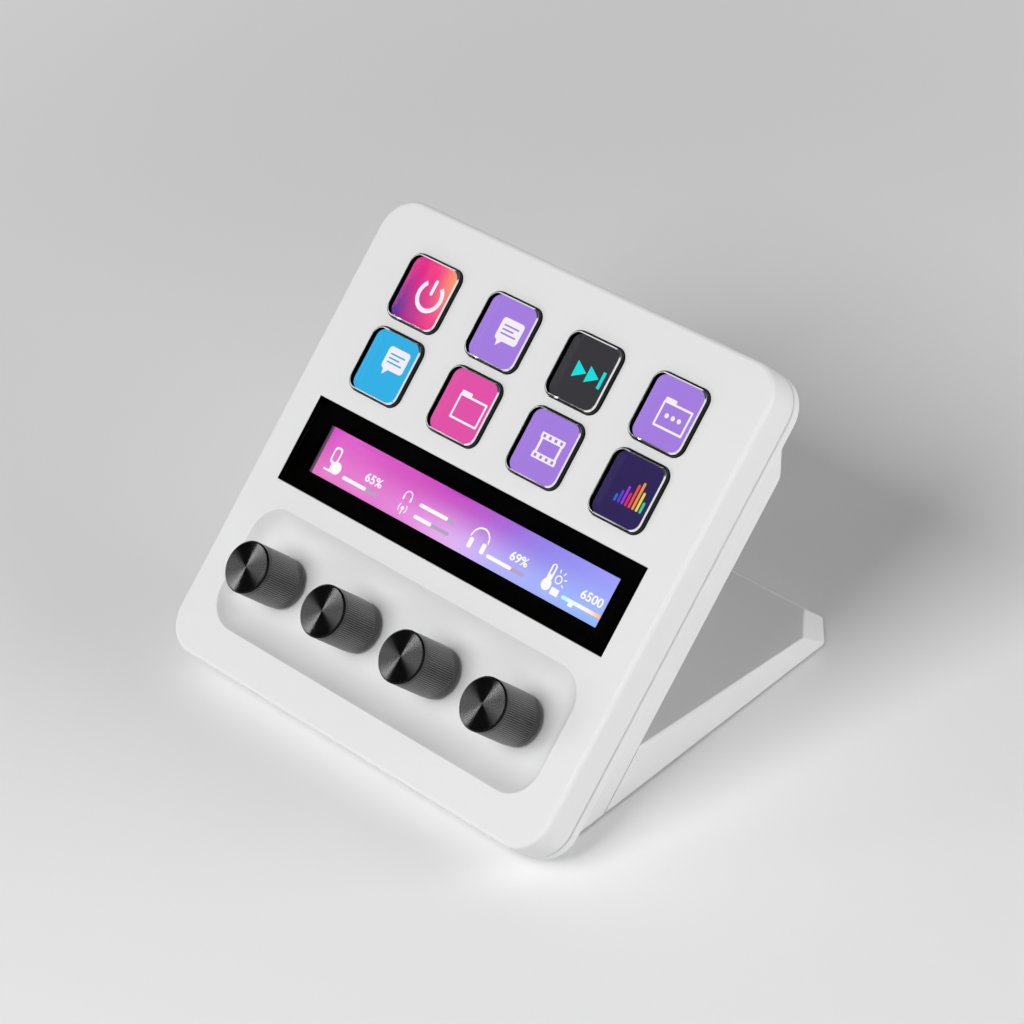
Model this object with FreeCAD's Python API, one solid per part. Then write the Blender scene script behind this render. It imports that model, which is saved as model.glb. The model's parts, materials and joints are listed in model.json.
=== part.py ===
import FreeCAD, Part
import math
import os

# Desk keypad: eight display keys, a touch strip and four push dials on a sloping white case.
# The case is drawn lying flat: X across, Y up the slope, Z out of the face, the origin at the
# middle of the face. It is then tilted and lifted so that the foot pad rests at height zero,
# with the pad's middle at the origin. Lengths are in millimetres and angles in degrees.

# Case
case_side_margin = 10.0
case_bottom_margin = 10.8
case_depth = 14.0
case_corner_radius = 10.0
case_edge_radius = 1.2
case_rear_radius = 2.0
case_wall = 2.0
rim_thickness = 3.95
parting_gap = 0.25
parting_bevel = 0.3
lip_height = 2.4
lip_wall = 0.9
catch_count = 2
catch_spacing = 60.0
catch_width = 12.0
catch_height = 0.9
catch_reach = 0.6
catch_below_lip = 0.3
catch_fit = 0.2
slide_fit = 0.1
tilt_angle = 39.5
case_desk_gap = 0.7

# Raised back of the rear cover
back_side_inset = 7.0
back_depth = 28.0
back_top_inset = 7.0
back_slope_angle = 40.8
back_slope_depth = 8.8
back_corner_cut = 7.7
back_edge_bevel = 0.4

# Stand leg
leg_length = 89.0
leg_root_height = 11.9
leg_tip_height = 5.8
leg_tip_angle = 42.0
leg_corner_cut = 7.6
leg_corner_lean = 37.0
leg_wall = 2.2
leg_rib_wall = 1.6
leg_edge_bevel = 0.4

# Foot pad and floor plate
pad_thickness = 1.4
pad_proud = 0.6
plate_thickness = 2.0
pad_fit = 0.2

# Keys
key_columns = 4
key_rows = 2
key_opening = 18.9
key_opening_radius = 3.4
key_gap_x = 10.6
key_gap_y = 2.4
key_top_inset = 21.25
key_side_fit = 0.2
key_rise = 1.5
key_travel = 1.0
key_stop_gap = 0.1
key_corner_steps = 4
skirt_rise = 1.0
skirt_wall = 0.55
skirt_edge_bevel = 0.2
skirt_flange = 1.1
skirt_flange_thickness = 0.5
cap_fit = 0.05
cap_overhang = 0.3
cap_below_flange = 0.3
cap_bevel = 0.3

# Touch strip
glass_side_margin = 6.5
glass_height = 24.6
glass_thickness = 1.8
glass_below_keys = 5.1
glass_fit = 0.1
window_side_margin = 5.2
window_end_margin = 3.8
ledge_thickness = 1.6
ledge_margin = 1.6

# Display behind the keys and the strip
strip_picture_height = 13.5
active_above_keys = 0.45
panel_border = 4.7
panel_side_inset = 1.7
panel_thickness = 1.4
tray_wall = 0.5
tray_thickness = 2.0
tray_rise = 1.0
tray_fit = 0.1
mat_thickness = 0.5
mat_margin = 2.5
mat_window_fit = 0.3

# Display bracket
bracket_thickness = 1.0
bracket_height = 60.0
bracket_below_display = 2.9
bracket_post_gap = 1.8
bracket_post_inset = 5.0
bracket_post_radius = 2.6
bracket_end_margin = 2.2
bracket_window_width = 60.0
bracket_window_height = 26.0
bracket_window_radius = 4.0

# Dial trough
trough_end_room = 8.65
trough_below_glass = 6.1
trough_height = 34.7
trough_depth = 4.5
trough_cove_radius = 11.5
trough_corner_flat = 0.08
trough_rim_radius = 0.4

# Dials, one under each column of keys
dial_radius = 7.1
dial_top = 12.0
dial_base_gap = 1.1
dial_rib_count = 40
dial_rib_depth = 0.22
dial_smooth_base = 2.4
dial_smooth_top = 0.7
dial_base_bevel = 0.6
dial_wall = 1.3
dial_hollow_height = 4.9
disc_thickness = 0.6
disc_bevel = 0.4

# Dial shafts and encoders
shaft_radius = 3.0
shaft_flat = 1.5
shaft_below_top = 3.5
shaft_in_encoder = 2.5
shaft_fit = 0.05
bushing_wall = 0.5
bushing_rise = 1.8
bushing_room = 0.6
encoder_side = 12.0
encoder_below_tub = 0.5
encoder_height = 5.5
encoder_roof = 0.8
encoder_floor = 0.5
encoder_wall = 1.4
plunger_radius = 2.0
plunger_height = 1.5

# Circuit boards
board_thickness = 1.6
dial_board_end_margin = 5.75
dial_board_height = 24.0
dial_post_y = 9.0
dial_post_radius = 2.2
main_board_side_margin = 13.0
main_board_height = 56.0
main_board_above_middle = 18.0
main_post_inset = 5.0
main_post_height = 4.4
main_post_radius = 2.8

# Rear socket
socket_width = 9.0
socket_height = 3.2
socket_corner_radius = 1.4
socket_wall = 0.35
socket_above_board_middle = 12.0
socket_short = 0.3
socket_fit = 0.25
tongue_width = 6.6
tongue_thickness = 0.7
tongue_short = 0.8

# Flat ribbons
ribbon_thickness = 0.3
display_ribbon_width = 24.0
display_ribbon_reach = 1.6
display_ribbon_lap = 6.0
dial_ribbon_width = 12.0
dial_ribbon_start = 12.0
dial_ribbon_reach = 4.5
dial_ribbon_lap = 8.0

# Screws
screw_sides = 8
screw_radius = 1.2
screw_pilot_fit = 0.05
screw_hole_radius = 1.4
screw_head_radius = 2.2
screw_head_height = 1.2
screw_head_fit = 0.3
board_screw_bite = 4.0
case_screw_bite = 7.0
case_boss_radius = 3.2
upper_boss_side_inset = 8.0
upper_boss_above_trough = 2.85
lower_boss_side_inset = 13.0
lower_boss_above_bottom = 6.25
case_screw_seat = 2.2
tube_wall = 1.2
leg_screw_count = 4
leg_screw_spacing = 30.0
leg_screw_above_seam = 13.5
leg_screw_bite = 5.0
leg_boss_radius = 2.8
floor_screw_side_inset = 23.0
floor_screw_end_inset = 24.5
floor_screw_bite = 3.2
floor_pillar_radius = 2.8

# Cutting tools run past the surfaces they cut by this much
overrun = 5.0
tiny = 0.000001
quarter_turn = 90.0
half_quarter_turn = 45.0

# Widths that follow from the keys: four columns, a dial under each, and margins at both sides
sine = math.sin(math.radians(tilt_angle))
cosine = math.cos(math.radians(tilt_angle))
key_spacing_x = key_opening + key_gap_x
key_spacing_y = key_opening + key_gap_y
columns_width = (key_columns - 1) * key_spacing_x
glass_width = columns_width + key_opening + 2 * glass_side_margin
trough_width = columns_width + 2 * dial_radius + 2 * trough_end_room
case_width = trough_width + 2 * case_side_margin
back_width = case_width - 2 * back_side_inset
window_width = glass_width - 2 * window_side_margin
window_height = glass_height - 2 * window_end_margin
panel_width = glass_width - 2 * panel_side_inset
dial_board_width = columns_width + encoder_side + 2 * dial_board_end_margin
main_board_width = back_width - 2 * main_board_side_margin

# Heights that follow, from the top edge down: keys, strip, trough
glass_below_top = key_top_inset + (key_rows - 1) * key_spacing_y + key_opening / 2
glass_below_top += glass_below_keys + glass_height / 2
case_height = glass_below_top + glass_height / 2 + trough_below_glass + trough_height + case_bottom_margin
top_row_y = case_height / 2 - key_top_inset
key_middle_y = top_row_y - (key_rows - 1) * key_spacing_y / 2
strip_y = case_height / 2 - glass_below_top
active_top = top_row_y + key_opening / 2 + active_above_keys
active_bottom = strip_y - strip_picture_height / 2
display_y = (active_top + active_bottom) / 2
panel_height = active_top - active_bottom + 2 * panel_border
trough_y = -case_height / 2 + case_bottom_margin + trough_height / 2
back_top = case_height / 2 - back_top_inset
back_slope_run = back_slope_depth * math.tan(math.radians(back_slope_angle))

# Depths that follow, from the face back
parting_depth = case_depth - rim_thickness
front_depth = parting_depth - parting_gap / 2
rear_front_depth = parting_depth + parting_gap / 2
rim_plate_depth = case_depth - case_wall
back_floor_depth = back_depth - case_wall
skirt_size = key_opening - 2 * key_side_fit
skirt_radius = key_opening_radius - key_side_fit
flange_top = case_wall + slide_fit
flange_bottom = flange_top + skirt_flange_thickness
cap_size = skirt_size - 2 * skirt_wall - 2 * cap_fit
cap_radius = skirt_radius - skirt_wall - cap_fit
display_depth = flange_bottom + key_travel + key_stop_gap + mat_thickness
tray_back = display_depth + panel_thickness + tray_thickness
cove_run = math.sqrt(trough_cove_radius ** 2 - (trough_cove_radius - trough_depth) ** 2)
cove_spread = trough_cove_radius - cove_run
trough_radius = cove_run + trough_corner_flat
trough_floor = trough_depth + case_wall
dial_base_depth = trough_depth - dial_base_gap
dial_hollow_radius = dial_radius - dial_wall
encoder_top_depth = trough_floor + encoder_below_tub
encoder_board_depth = encoder_top_depth + encoder_height
encoder_room = encoder_side - 2 * encoder_wall
shaft_above_face = dial_top - shaft_below_top
shaft_below_face = encoder_top_depth + shaft_in_encoder
bushing_radius = shaft_radius + bushing_wall
dial_hole_radius = bushing_radius + bushing_room
main_board_depth = back_floor_depth - main_post_height - board_thickness

# Places of posts, screws and the socket
bracket_post_x = panel_width / 2 + tray_fit + tray_wall + bracket_post_gap + bracket_post_radius
bracket_post_y = bracket_height / 2 - bracket_post_inset
bracket_y = display_y - bracket_below_display
dial_post_x = key_spacing_x
dial_ribbon_x = (display_ribbon_width / 2 + dial_post_x - screw_head_radius) / 2
main_board_y = main_board_above_middle
main_post_x = main_board_width / 2 - main_post_inset
main_post_y = main_board_height / 2 - main_post_inset
socket_y = main_board_y + socket_above_board_middle
upper_boss_x = back_width / 2 - upper_boss_side_inset
upper_boss_y = trough_y + trough_height / 2 + upper_boss_above_trough
lower_boss_x = back_width / 2 - lower_boss_side_inset
lower_boss_y = -case_height / 2 + lower_boss_above_bottom
floor_screw_x = back_width / 2 - floor_screw_side_inset
floor_screw_y = leg_length / 2 - floor_screw_end_inset

# Height and depth of the middle of the face in the finished stance
case_low_point = (case_height / 2 - case_rear_radius) * sine
case_low_point += (case_depth - case_rear_radius) * cosine + case_rear_radius
face_height = pad_proud + case_desk_gap + case_low_point
seam_y = (pad_proud - face_height + back_depth * cosine) / sine
face_forward = -leg_length / 2 - seam_y * cosine - back_depth * sine


def block(x0, x1, y0, y1, z0, z1):
    return Part.makeBox(x1 - x0, y1 - y0, z1 - z0, FreeCAD.Vector(x0, y0, z0))


def rod(x, y, radius, z0, z1):
    return Part.makeCylinder(radius, z1 - z0, FreeCAD.Vector(x, y, z0))


def peg(x, y, radius, z0, z1, sides=screw_sides):
    """Many-sided rod: eight sides for the hidden screws, their posts and their holes."""
    corners = []
    for i in range(sides):
        angle = 2 * math.pi * (i + 1 / 2) / sides
        corners.append(FreeCAD.Vector(x + radius * math.cos(angle), y + radius * math.sin(angle), z0))
    face = Part.Face(Part.makePolygon(corners + corners[:1]))
    return face.extrude(FreeCAD.Vector(0, 0, z1 - z0))


def edges_at(shape, height):
    """Edges that lie wholly at one height."""
    found = []
    for edge in shape.Edges:
        box = edge.BoundBox
        if abs(box.ZMin - height) < tiny and abs(box.ZMax - height) < tiny:
            found.append(edge)
    return found


def upright_edges(shape):
    found = []
    for edge in shape.Edges:
        box = edge.BoundBox
        if box.XLength < tiny and box.YLength < tiny:
            found.append(edge)
    return found


def rounded_block(x, y, width, height, radius, z0, z1):
    """Upright block with round corners, centred on x and y."""
    shape = block(x - width / 2, x + width / 2, y - height / 2, y + height / 2, z0, z1)
    return shape.makeFillet(radius, upright_edges(shape))


def stepped_block(x, y, size, radius, z0, z1):
    """Square block whose round corners are made of a few short flats, as it is repeated on every key."""
    corners = []
    reach = size / 2 - radius
    for quarter in range(4):
        turn = quarter * math.pi / 2
        middle_x = x + reach * (1 if quarter in (0, 3) else -1)
        middle_y = y + reach * (1 if quarter in (0, 1) else -1)
        for step in range(key_corner_steps + 1):
            angle = turn + step * math.pi / 2 / key_corner_steps
            corners.append(FreeCAD.Vector(middle_x + radius * math.cos(angle),
                                          middle_y + radius * math.sin(angle), z0))
    face = Part.Face(Part.makePolygon(corners + corners[:1]))
    return face.extrude(FreeCAD.Vector(0, 0, z1 - z0))


def fused(shapes):
    joined = shapes[0].multiFuse(shapes[1:])
    return joined.removeSplitter()


def in_stance(shape):
    """Tilt a piece drawn flat and lift it to where it stands on the desk."""
    stood = shape.copy()
    stood.rotate(FreeCAD.Vector(0, 0, 0), FreeCAD.Vector(1, 0, 0), tilt_angle)
    stood.translate(FreeCAD.Vector(0, face_forward, face_height))
    return stood


def side_profile(points, width):
    """Solid with one outline in the YZ plane, centred across the keypad."""
    corners = [FreeCAD.Vector(-width / 2, y, z) for y, z in points]
    outline = Part.makePolygon(corners + corners[:1])
    return Part.Face(outline).extrude(FreeCAD.Vector(width, 0, 0))


def inset_profile(points, inset, width):
    """The same kind of solid with its outline drawn in all round."""
    corners = [FreeCAD.Vector(-width / 2, y, z) for y, z in points]
    outline = Part.makePolygon(corners + corners[:1])
    face = Part.Face(outline).makeOffset2D(-inset, 2)
    return face.extrude(FreeCAD.Vector(width, 0, 0))


def corner_planer(x, y, z, turn, lean, size):
    """Block that planes off a corner: its face passes through the point, turned about Z and leaning."""
    tool = Part.makeBox(size, 2 * size, 2 * size, FreeCAD.Vector(0, -size, -size))
    tool.rotate(FreeCAD.Vector(0, 0, 0), FreeCAD.Vector(0, 1, 0), -lean)
    tool.rotate(FreeCAD.Vector(0, 0, 0), FreeCAD.Vector(0, 0, 1), turn)
    tool.translate(FreeCAD.Vector(x, y, z))
    return tool


def key_centres():
    centres = []
    for row in range(key_rows):
        for column in range(key_columns):
            x = (column - (key_columns - 1) / 2) * key_spacing_x
            y = top_row_y - row * key_spacing_y
            centres.append((x, y))
    return centres


def dial_centres():
    """One dial under each column of keys."""
    return [((i - (key_columns - 1) / 2) * key_spacing_x, trough_y) for i in range(key_columns)]


def four_places(x, y, middle_y=0):
    return [(side * x, middle_y + end * y) for side in (-1, 1) for end in (-1, 1)]


def screw(x, y, seat, shank_end, outward):
    """Pan head screw along Z. The head stands off the seat, away from the shank."""
    head_end = seat + outward * screw_head_height
    head = peg(x, y, screw_head_radius, min(seat, head_end), max(seat, head_end))
    shank = peg(x, y, screw_radius, min(seat, shank_end), max(seat, shank_end))
    return head.fuse(shank).removeSplitter()


def trough_tool():
    """The scooped hollow: a deep block whose lower edges sweep up in one large cove."""
    width = trough_width + 2 * cove_spread
    height = trough_height + 2 * cove_spread
    radius = trough_radius + cove_spread
    low = -trough_depth
    tool = rounded_block(0, trough_y, width, height, radius, low, low + 2 * trough_cove_radius)
    return tool.makeFillet(trough_cove_radius, edges_at(tool, low))


def rim_edges(shape, x, y, width, height):
    """Edges of one opening where it meets the face."""
    found = []
    for edge in edges_at(shape, 0):
        box = edge.BoundBox
        if abs(box.Center.x - x) < width / 2 + tiny and abs(box.Center.y - y) < height / 2 + tiny:
            found.append(edge)
    return found


def cover_shell():
    """Outer skin of the front cover, with the trough's tub and the strip's ledge under the face."""
    shell = rounded_block(0, 0, case_width, case_height, case_corner_radius, -front_depth, 0)
    shell = shell.makeFillet(case_edge_radius, edges_at(shell, 0))
    shell = shell.makeChamfer(parting_bevel, edges_at(shell, -front_depth))
    inner_width = case_width - 2 * case_wall
    inner_height = case_height - 2 * case_wall
    inner_radius = case_corner_radius - case_wall
    low = -front_depth - overrun
    shell = shell.cut(rounded_block(0, 0, inner_width, inner_height, inner_radius, low, -case_wall))
    tub = rounded_block(0, trough_y, trough_width + 2 * case_wall, trough_height + 2 * case_wall,
                        trough_radius + case_wall, -trough_floor, -case_wall / 2)
    ledge_x = glass_width / 2 + ledge_margin
    ledge_y = glass_height / 2 + ledge_margin
    ledge = block(-ledge_x, ledge_x, strip_y - ledge_y, strip_y + ledge_y,
                  -glass_thickness - ledge_thickness, -case_wall / 2)
    return fused([shell, tub, ledge])


def catches(fit):
    """Bars along the top of the rear cover's lip, or with a fit the slots that they snap into."""
    bars = []
    root = case_height / 2 - case_wall - slide_fit - lip_wall / 2
    tip = case_height / 2 - case_wall - slide_fit + catch_reach + fit
    top = -rear_front_depth + lip_height - catch_below_lip + fit
    for i in range(catch_count):
        x = (i - (catch_count - 1) / 2) * catch_spacing
        bars.append(block(x - catch_width / 2 - fit, x + catch_width / 2 + fit, root, tip,
                          top - catch_height - 2 * fit, top))
    return bars


def case_screw_places():
    upper = [(side * upper_boss_x, upper_boss_y) for side in (-1, 1)]
    lower = [(side * lower_boss_x, lower_boss_y) for side in (-1, 1)]
    return upper + lower


def front_cover_posts():
    """Screw posts that stand on the inside of the face and on the tub."""
    posts = [peg(x, y, case_boss_radius, -rim_plate_depth, -case_wall / 2)
             for x, y in case_screw_places()]
    for x, y in four_places(bracket_post_x, bracket_post_y, bracket_y):
        posts.append(peg(x, y, bracket_post_radius, -tray_back, -case_wall / 2))
    for x, y in four_places(dial_post_x, dial_post_y, trough_y):
        posts.append(peg(x, y, dial_post_radius, -encoder_board_depth, -trough_floor + case_wall / 2))
    return posts


def front_cover_pilots():
    radius = screw_radius + screw_pilot_fit
    pilots = [peg(x, y, radius, -rim_plate_depth, -rim_plate_depth + case_screw_bite)
              for x, y in case_screw_places()]
    for x, y in four_places(bracket_post_x, bracket_post_y, bracket_y):
        pilots.append(peg(x, y, radius, -tray_back, -tray_back + board_screw_bite))
    for x, y in four_places(dial_post_x, dial_post_y, trough_y):
        pilots.append(peg(x, y, radius, -encoder_board_depth, -encoder_board_depth + board_screw_bite))
    return pilots


def front_cover():
    cover = cover_shell()
    openings = []
    for x, y in key_centres():
        openings.append(rounded_block(x, y, key_opening, key_opening, key_opening_radius,
                                      -case_wall - overrun, overrun))
    cover = cover.cut(openings)
    pocket = block(-glass_width / 2, glass_width / 2, strip_y - glass_height / 2,
                   strip_y + glass_height / 2, -glass_thickness, overrun)
    window = block(-window_width / 2, window_width / 2, strip_y - window_height / 2,
                   strip_y + window_height / 2, -glass_thickness - ledge_thickness - overrun, 0)
    cover = cover.cut([pocket, window])
    cover = fused([cover] + front_cover_posts())
    cover = cover.cut(trough_tool())
    rims = rim_edges(cover, 0, trough_y, trough_width, trough_height)
    cover = cover.makeFillet(trough_rim_radius, rims)
    holes = [rod(x, y, dial_hole_radius, -trough_floor - overrun, 0) for x, y in dial_centres()]
    return cover.cut(holes + front_cover_pilots() + catches(catch_fit))


def back_outline():
    """Side view of the raised back, from the desk corner round to the front of its top wall."""
    desk_corner_y = -(case_height / 2 - case_rear_radius)
    desk_corner_z = (pad_proud - face_height - desk_corner_y * sine) / cosine
    start_z = -rim_plate_depth
    return [
        (desk_corner_y, start_z),
        (desk_corner_y, desk_corner_z),
        (seam_y, -back_depth),
        (back_top - back_slope_run, -back_depth),
        (back_top, -back_depth + back_slope_depth),
        (back_top, start_z),
    ]


def back_corner_planers(inset):
    """Blocks that plane the two upper corners of the raised back."""
    tools = []
    size = back_width
    shift = back_corner_cut + inset * math.sqrt(2)
    for side, turn in ((1, half_quarter_turn), (-1, quarter_turn + half_quarter_turn)):
        x = side * (back_width / 2 - shift)
        y = back_top - back_slope_run
        tool = corner_planer(x, y, -back_depth, turn, -back_slope_angle, size)
        tools.append(tool)
    return tools


def back_solid():
    solid = side_profile(back_outline(), back_width)
    solid = solid.cut(back_corner_planers(0))
    crisp = [edge for edge in solid.Edges
             if edge.BoundBox.ZMin < -rim_plate_depth - tiny and edge.BoundBox.YMax > seam_y + tiny]
    return solid.makeChamfer(back_edge_bevel, crisp)


def back_hollow():
    """Space inside the raised back, open towards the face."""
    width = back_width - 2 * case_wall
    hollow = inset_profile(back_outline(), case_wall, width)
    mouth_low = -(case_height / 2 - case_rear_radius) + 2 * case_wall
    mouth = block(-width / 2, width / 2, mouth_low, back_top - case_wall,
                  -rim_plate_depth - 2 * case_wall, -rim_plate_depth + overrun)
    return fused([hollow, mouth]).cut(back_corner_planers(case_wall))


def rear_rim():
    """The flat part of the rear cover, behind the parting line, with its lip."""
    rim = rounded_block(0, 0, case_width, case_height, case_corner_radius, -case_depth, -rear_front_depth)
    rim = rim.makeFillet(case_rear_radius, edges_at(rim, -case_depth))
    rim = rim.makeChamfer(parting_bevel, edges_at(rim, -rear_front_depth))
    lip_gap = case_wall + slide_fit
    lip = rounded_block(0, 0, case_width - 2 * lip_gap, case_height - 2 * lip_gap,
                        case_corner_radius - lip_gap, -rim_plate_depth, -rear_front_depth + lip_height)
    inner_gap = lip_gap + lip_wall
    room = rounded_block(0, 0, case_width - 2 * inner_gap, case_height - 2 * inner_gap,
                         case_corner_radius - inner_gap, -rim_plate_depth, overrun)
    return fused([rim, lip] + catches(0)).cut(room)


def rear_cover_tubes():
    """Tubes for the case screws, cut off level with the outside of the raised back."""
    radius = screw_head_radius + screw_head_fit + tube_wall
    solid = back_solid()
    return [rod(x, y, radius, -back_depth, -rim_plate_depth).common(solid)
            for x, y in case_screw_places()]


def rear_cover_drillings():
    drillings = []
    seat = -rim_plate_depth - case_screw_seat
    head_room = screw_head_radius + screw_head_fit
    for x, y in case_screw_places():
        drillings.append(peg(x, y, screw_hole_radius, seat - overrun, -rim_plate_depth))
        drillings.append(rod(x, y, head_room, -back_depth - overrun, seat))
    for x, y in leg_screw_places():
        drillings.append(peg(x, y, screw_hole_radius, -back_depth - overrun, -back_floor_depth))
    for x, y in four_places(main_post_x, main_post_y, main_board_y):
        board_back = -main_board_depth - board_thickness
        drillings.append(peg(x, y, screw_radius + screw_pilot_fit, board_back - board_screw_bite,
                             board_back))
    return drillings


def rear_cover():
    cover = fused([rear_rim(), back_solid()])
    cover = cover.cut(back_hollow())
    posts = [peg(x, y, main_post_radius, -back_depth + case_wall / 2, -main_board_depth - board_thickness)
             for x, y in four_places(main_post_x, main_post_y, main_board_y)]
    cover = fused([cover] + rear_cover_tubes() + posts)
    opening_width = socket_width + 2 * socket_fit
    opening_height = socket_height + 2 * socket_fit
    opening = rounded_block(0, socket_y, opening_width, opening_height,
                            socket_corner_radius + socket_fit, -back_depth - overrun,
                            -back_floor_depth + overrun)
    return cover.cut(rear_cover_drillings() + [opening])


def leg_screw_places():
    y = seam_y + leg_screw_above_seam
    return [((i - (leg_screw_count - 1) / 2) * leg_screw_spacing, y) for i in range(leg_screw_count)]


def leg_outline(drop):
    """Side view of the leg as it stands, its underside lowered by drop."""
    front = -leg_length / 2
    tip_run = leg_tip_height * math.tan(math.radians(leg_tip_angle))
    tip_drop_run = drop * math.tan(math.radians(leg_tip_angle))
    slant = cosine / sine
    return [
        (front - drop * slant, pad_proud - drop),
        (leg_length / 2 + tip_drop_run, pad_proud - drop),
        (leg_length / 2 - tip_run, pad_proud + leg_tip_height),
        (front + leg_root_height * slant, pad_proud + leg_root_height),
    ]


def leg_corner_planers(inset):
    """Blocks that plane the two rear corners of the leg."""
    tools = []
    size = back_width
    lean_share = 1 / math.cos(math.radians(leg_corner_lean))
    shift = leg_corner_cut + inset * lean_share * math.sqrt(2)
    for side, turn in ((1, half_quarter_turn), (-1, quarter_turn + half_quarter_turn)):
        x = side * (back_width / 2 - shift)
        tools.append(corner_planer(x, leg_length / 2, pad_proud, turn, leg_corner_lean, size))
    return tools


def leg_solid():
    solid = side_profile(leg_outline(0), back_width)
    solid = solid.cut(leg_corner_planers(0))
    root_end = -leg_length / 2 + leg_root_height * cosine / sine
    crisp = [edge for edge in solid.Edges
             if edge.BoundBox.YMax > root_end + tiny and edge.BoundBox.ZMax > pad_proud + tiny]
    return solid.makeChamfer(leg_edge_bevel, crisp)


def leg_room(inset, drop):
    """Space inside the leg, drawn in from its outside and reaching below it by drop."""
    room = inset_profile(leg_outline(drop + inset), inset, back_width - 2 * inset)
    return room.cut(leg_corner_planers(inset))


def slab(z0, z1):
    reach = leg_length + back_width
    return block(-reach, reach, -reach, reach, z0, z1)


def stand_leg():
    """Hollow wedge, open below, with ribs and pillars over the floor plate."""
    solid = leg_solid()
    leg = solid.cut(leg_room(leg_wall, 0))
    plate_top = pad_thickness + plate_thickness
    above_plate = slab(plate_top, plate_top + leg_root_height + overrun)
    inner = solid.common(above_plate)
    stiffeners = []
    for i in range(leg_screw_count - 1):
        x = (i + 1 - leg_screw_count / 2) * leg_screw_spacing
        stiffeners.append(block(x - leg_rib_wall / 2, x + leg_rib_wall / 2, -leg_length, leg_length,
                                0, leg_length))
    for x, y in four_places(floor_screw_x, floor_screw_y):
        stiffeners.append(peg(x, y, floor_pillar_radius, 0, leg_length))
    for x, y in leg_screw_places():
        boss = peg(x, y, leg_boss_radius, -back_depth - leg_screw_bite - case_wall, -back_depth)
        stiffeners.append(in_stance(boss))
    leg = fused([leg] + [piece.common(inner) for piece in stiffeners])
    pilot_radius = screw_radius + screw_pilot_fit
    pilots = [peg(x, y, pilot_radius, 0, plate_top + floor_screw_bite)
              for x, y in four_places(floor_screw_x, floor_screw_y)]
    for x, y in leg_screw_places():
        pilots.append(in_stance(peg(x, y, pilot_radius, -back_depth - leg_screw_bite, -back_depth)))
    return leg.cut(pilots)


def floor_plate():
    plate = leg_room(leg_wall + pad_fit, 0).common(slab(pad_thickness, pad_thickness + plate_thickness))
    holes = []
    for x, y in four_places(floor_screw_x, floor_screw_y):
        holes.append(peg(x, y, screw_hole_radius, 0, leg_length))
        holes.append(peg(x, y, screw_head_radius + screw_head_fit, 0, pad_thickness + screw_head_height))
    return plate.cut(holes)


def foot_pad():
    return leg_room(leg_wall + pad_fit, pad_proud).common(slab(0, pad_thickness))


def key_skirt(x, y):
    """Black frame round a key, with the flange that holds it under the face."""
    body = stepped_block(x, y, skirt_size, skirt_radius, -flange_bottom, skirt_rise)
    body = body.makeChamfer(skirt_edge_bevel, edges_at(body, skirt_rise))
    reach = skirt_size / 2 + skirt_flange
    flange = block(x - reach, x + reach, y - reach, y + reach, -flange_bottom, -flange_top)
    bore = stepped_block(x, y, skirt_size - 2 * skirt_wall, skirt_radius - skirt_wall,
                         -flange_bottom - overrun, skirt_rise + overrun)
    return fused([body, flange]).cut(bore)


def key_cap(x, y):
    """Clear cap: a block inside the skirt and a bevelled lip over its top."""
    stem = stepped_block(x, y, cap_size, cap_radius, -flange_bottom - cap_below_flange, skirt_rise)
    lip = stepped_block(x, y, cap_size + 2 * cap_overhang, cap_radius + cap_overhang, skirt_rise, key_rise)
    lip = lip.makeChamfer(cap_bevel, edges_at(lip, key_rise))
    return fused([stem, lip])


def touch_glass():
    x = glass_width / 2 - glass_fit
    y = glass_height / 2 - glass_fit
    return block(-x, x, strip_y - y, strip_y + y, -glass_thickness, 0)


def display_panel():
    x = panel_width / 2
    y = panel_height / 2
    return block(-x, x, display_y - y, display_y + y, -display_depth - panel_thickness, -display_depth)


def backlight_tray():
    x = panel_width / 2 + tray_fit
    y = panel_height / 2 + tray_fit
    panel_back = -display_depth - panel_thickness
    tray = block(-x - tray_wall, x + tray_wall, display_y - y - tray_wall, display_y + y + tray_wall,
                 -tray_back, panel_back + tray_rise)
    return tray.cut(block(-x, x, display_y - y, display_y + y, panel_back, 0))


def display_bracket():
    """Steel plate across the back of the tray, screwed to the side posts."""
    width = 2 * (bracket_post_x + bracket_end_margin)
    low = -tray_back - bracket_thickness
    plate = rounded_block(0, bracket_y, width, bracket_height, bracket_post_radius, low, -tray_back)
    window = rounded_block(0, bracket_y, bracket_window_width, bracket_window_height,
                           bracket_window_radius, low - overrun, 0)
    holes = [peg(x, y, screw_hole_radius, low - overrun, 0)
             for x, y in four_places(bracket_post_x, bracket_post_y, bracket_y)]
    return plate.cut([window] + holes)


def key_mat():
    """Rubber mat on the display, with a window under each key."""
    spread_x = columns_width + skirt_size + 2 * mat_margin
    spread_y = (key_rows - 1) * key_spacing_y + skirt_size + 2 * mat_margin
    mat = rounded_block(0, key_middle_y, spread_x, spread_y, key_opening_radius,
                        -display_depth, -display_depth + mat_thickness)
    reach = cap_size / 2 + mat_window_fit
    windows = [block(x - reach, x + reach, y - reach, y + reach, -display_depth - overrun, 0)
               for x, y in key_centres()]
    return mat.cut(windows)


def ribbed_band(x, y, z0, z1):
    """Round band with shallow upright grooves, cut between the ribs."""
    corners = []
    for i in range(2 * dial_rib_count):
        angle = math.pi * i / dial_rib_count
        radius = dial_radius - (1 - i % 2) * dial_rib_depth
        corners.append(FreeCAD.Vector(x + radius * math.cos(angle), y + radius * math.sin(angle), z0))
    face = Part.Face(Part.makePolygon(corners + corners[:1]))
    return face.extrude(FreeCAD.Vector(0, 0, z1 - z0))


def flatted_rod(x, y, radius, flat, z0, z1):
    """Round rod with one flat, as on a dial shaft."""
    return rod(x, y, radius, z0, z1).common(block(x - radius, x + flat, y - radius, y + radius, z0, z1))


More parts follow.
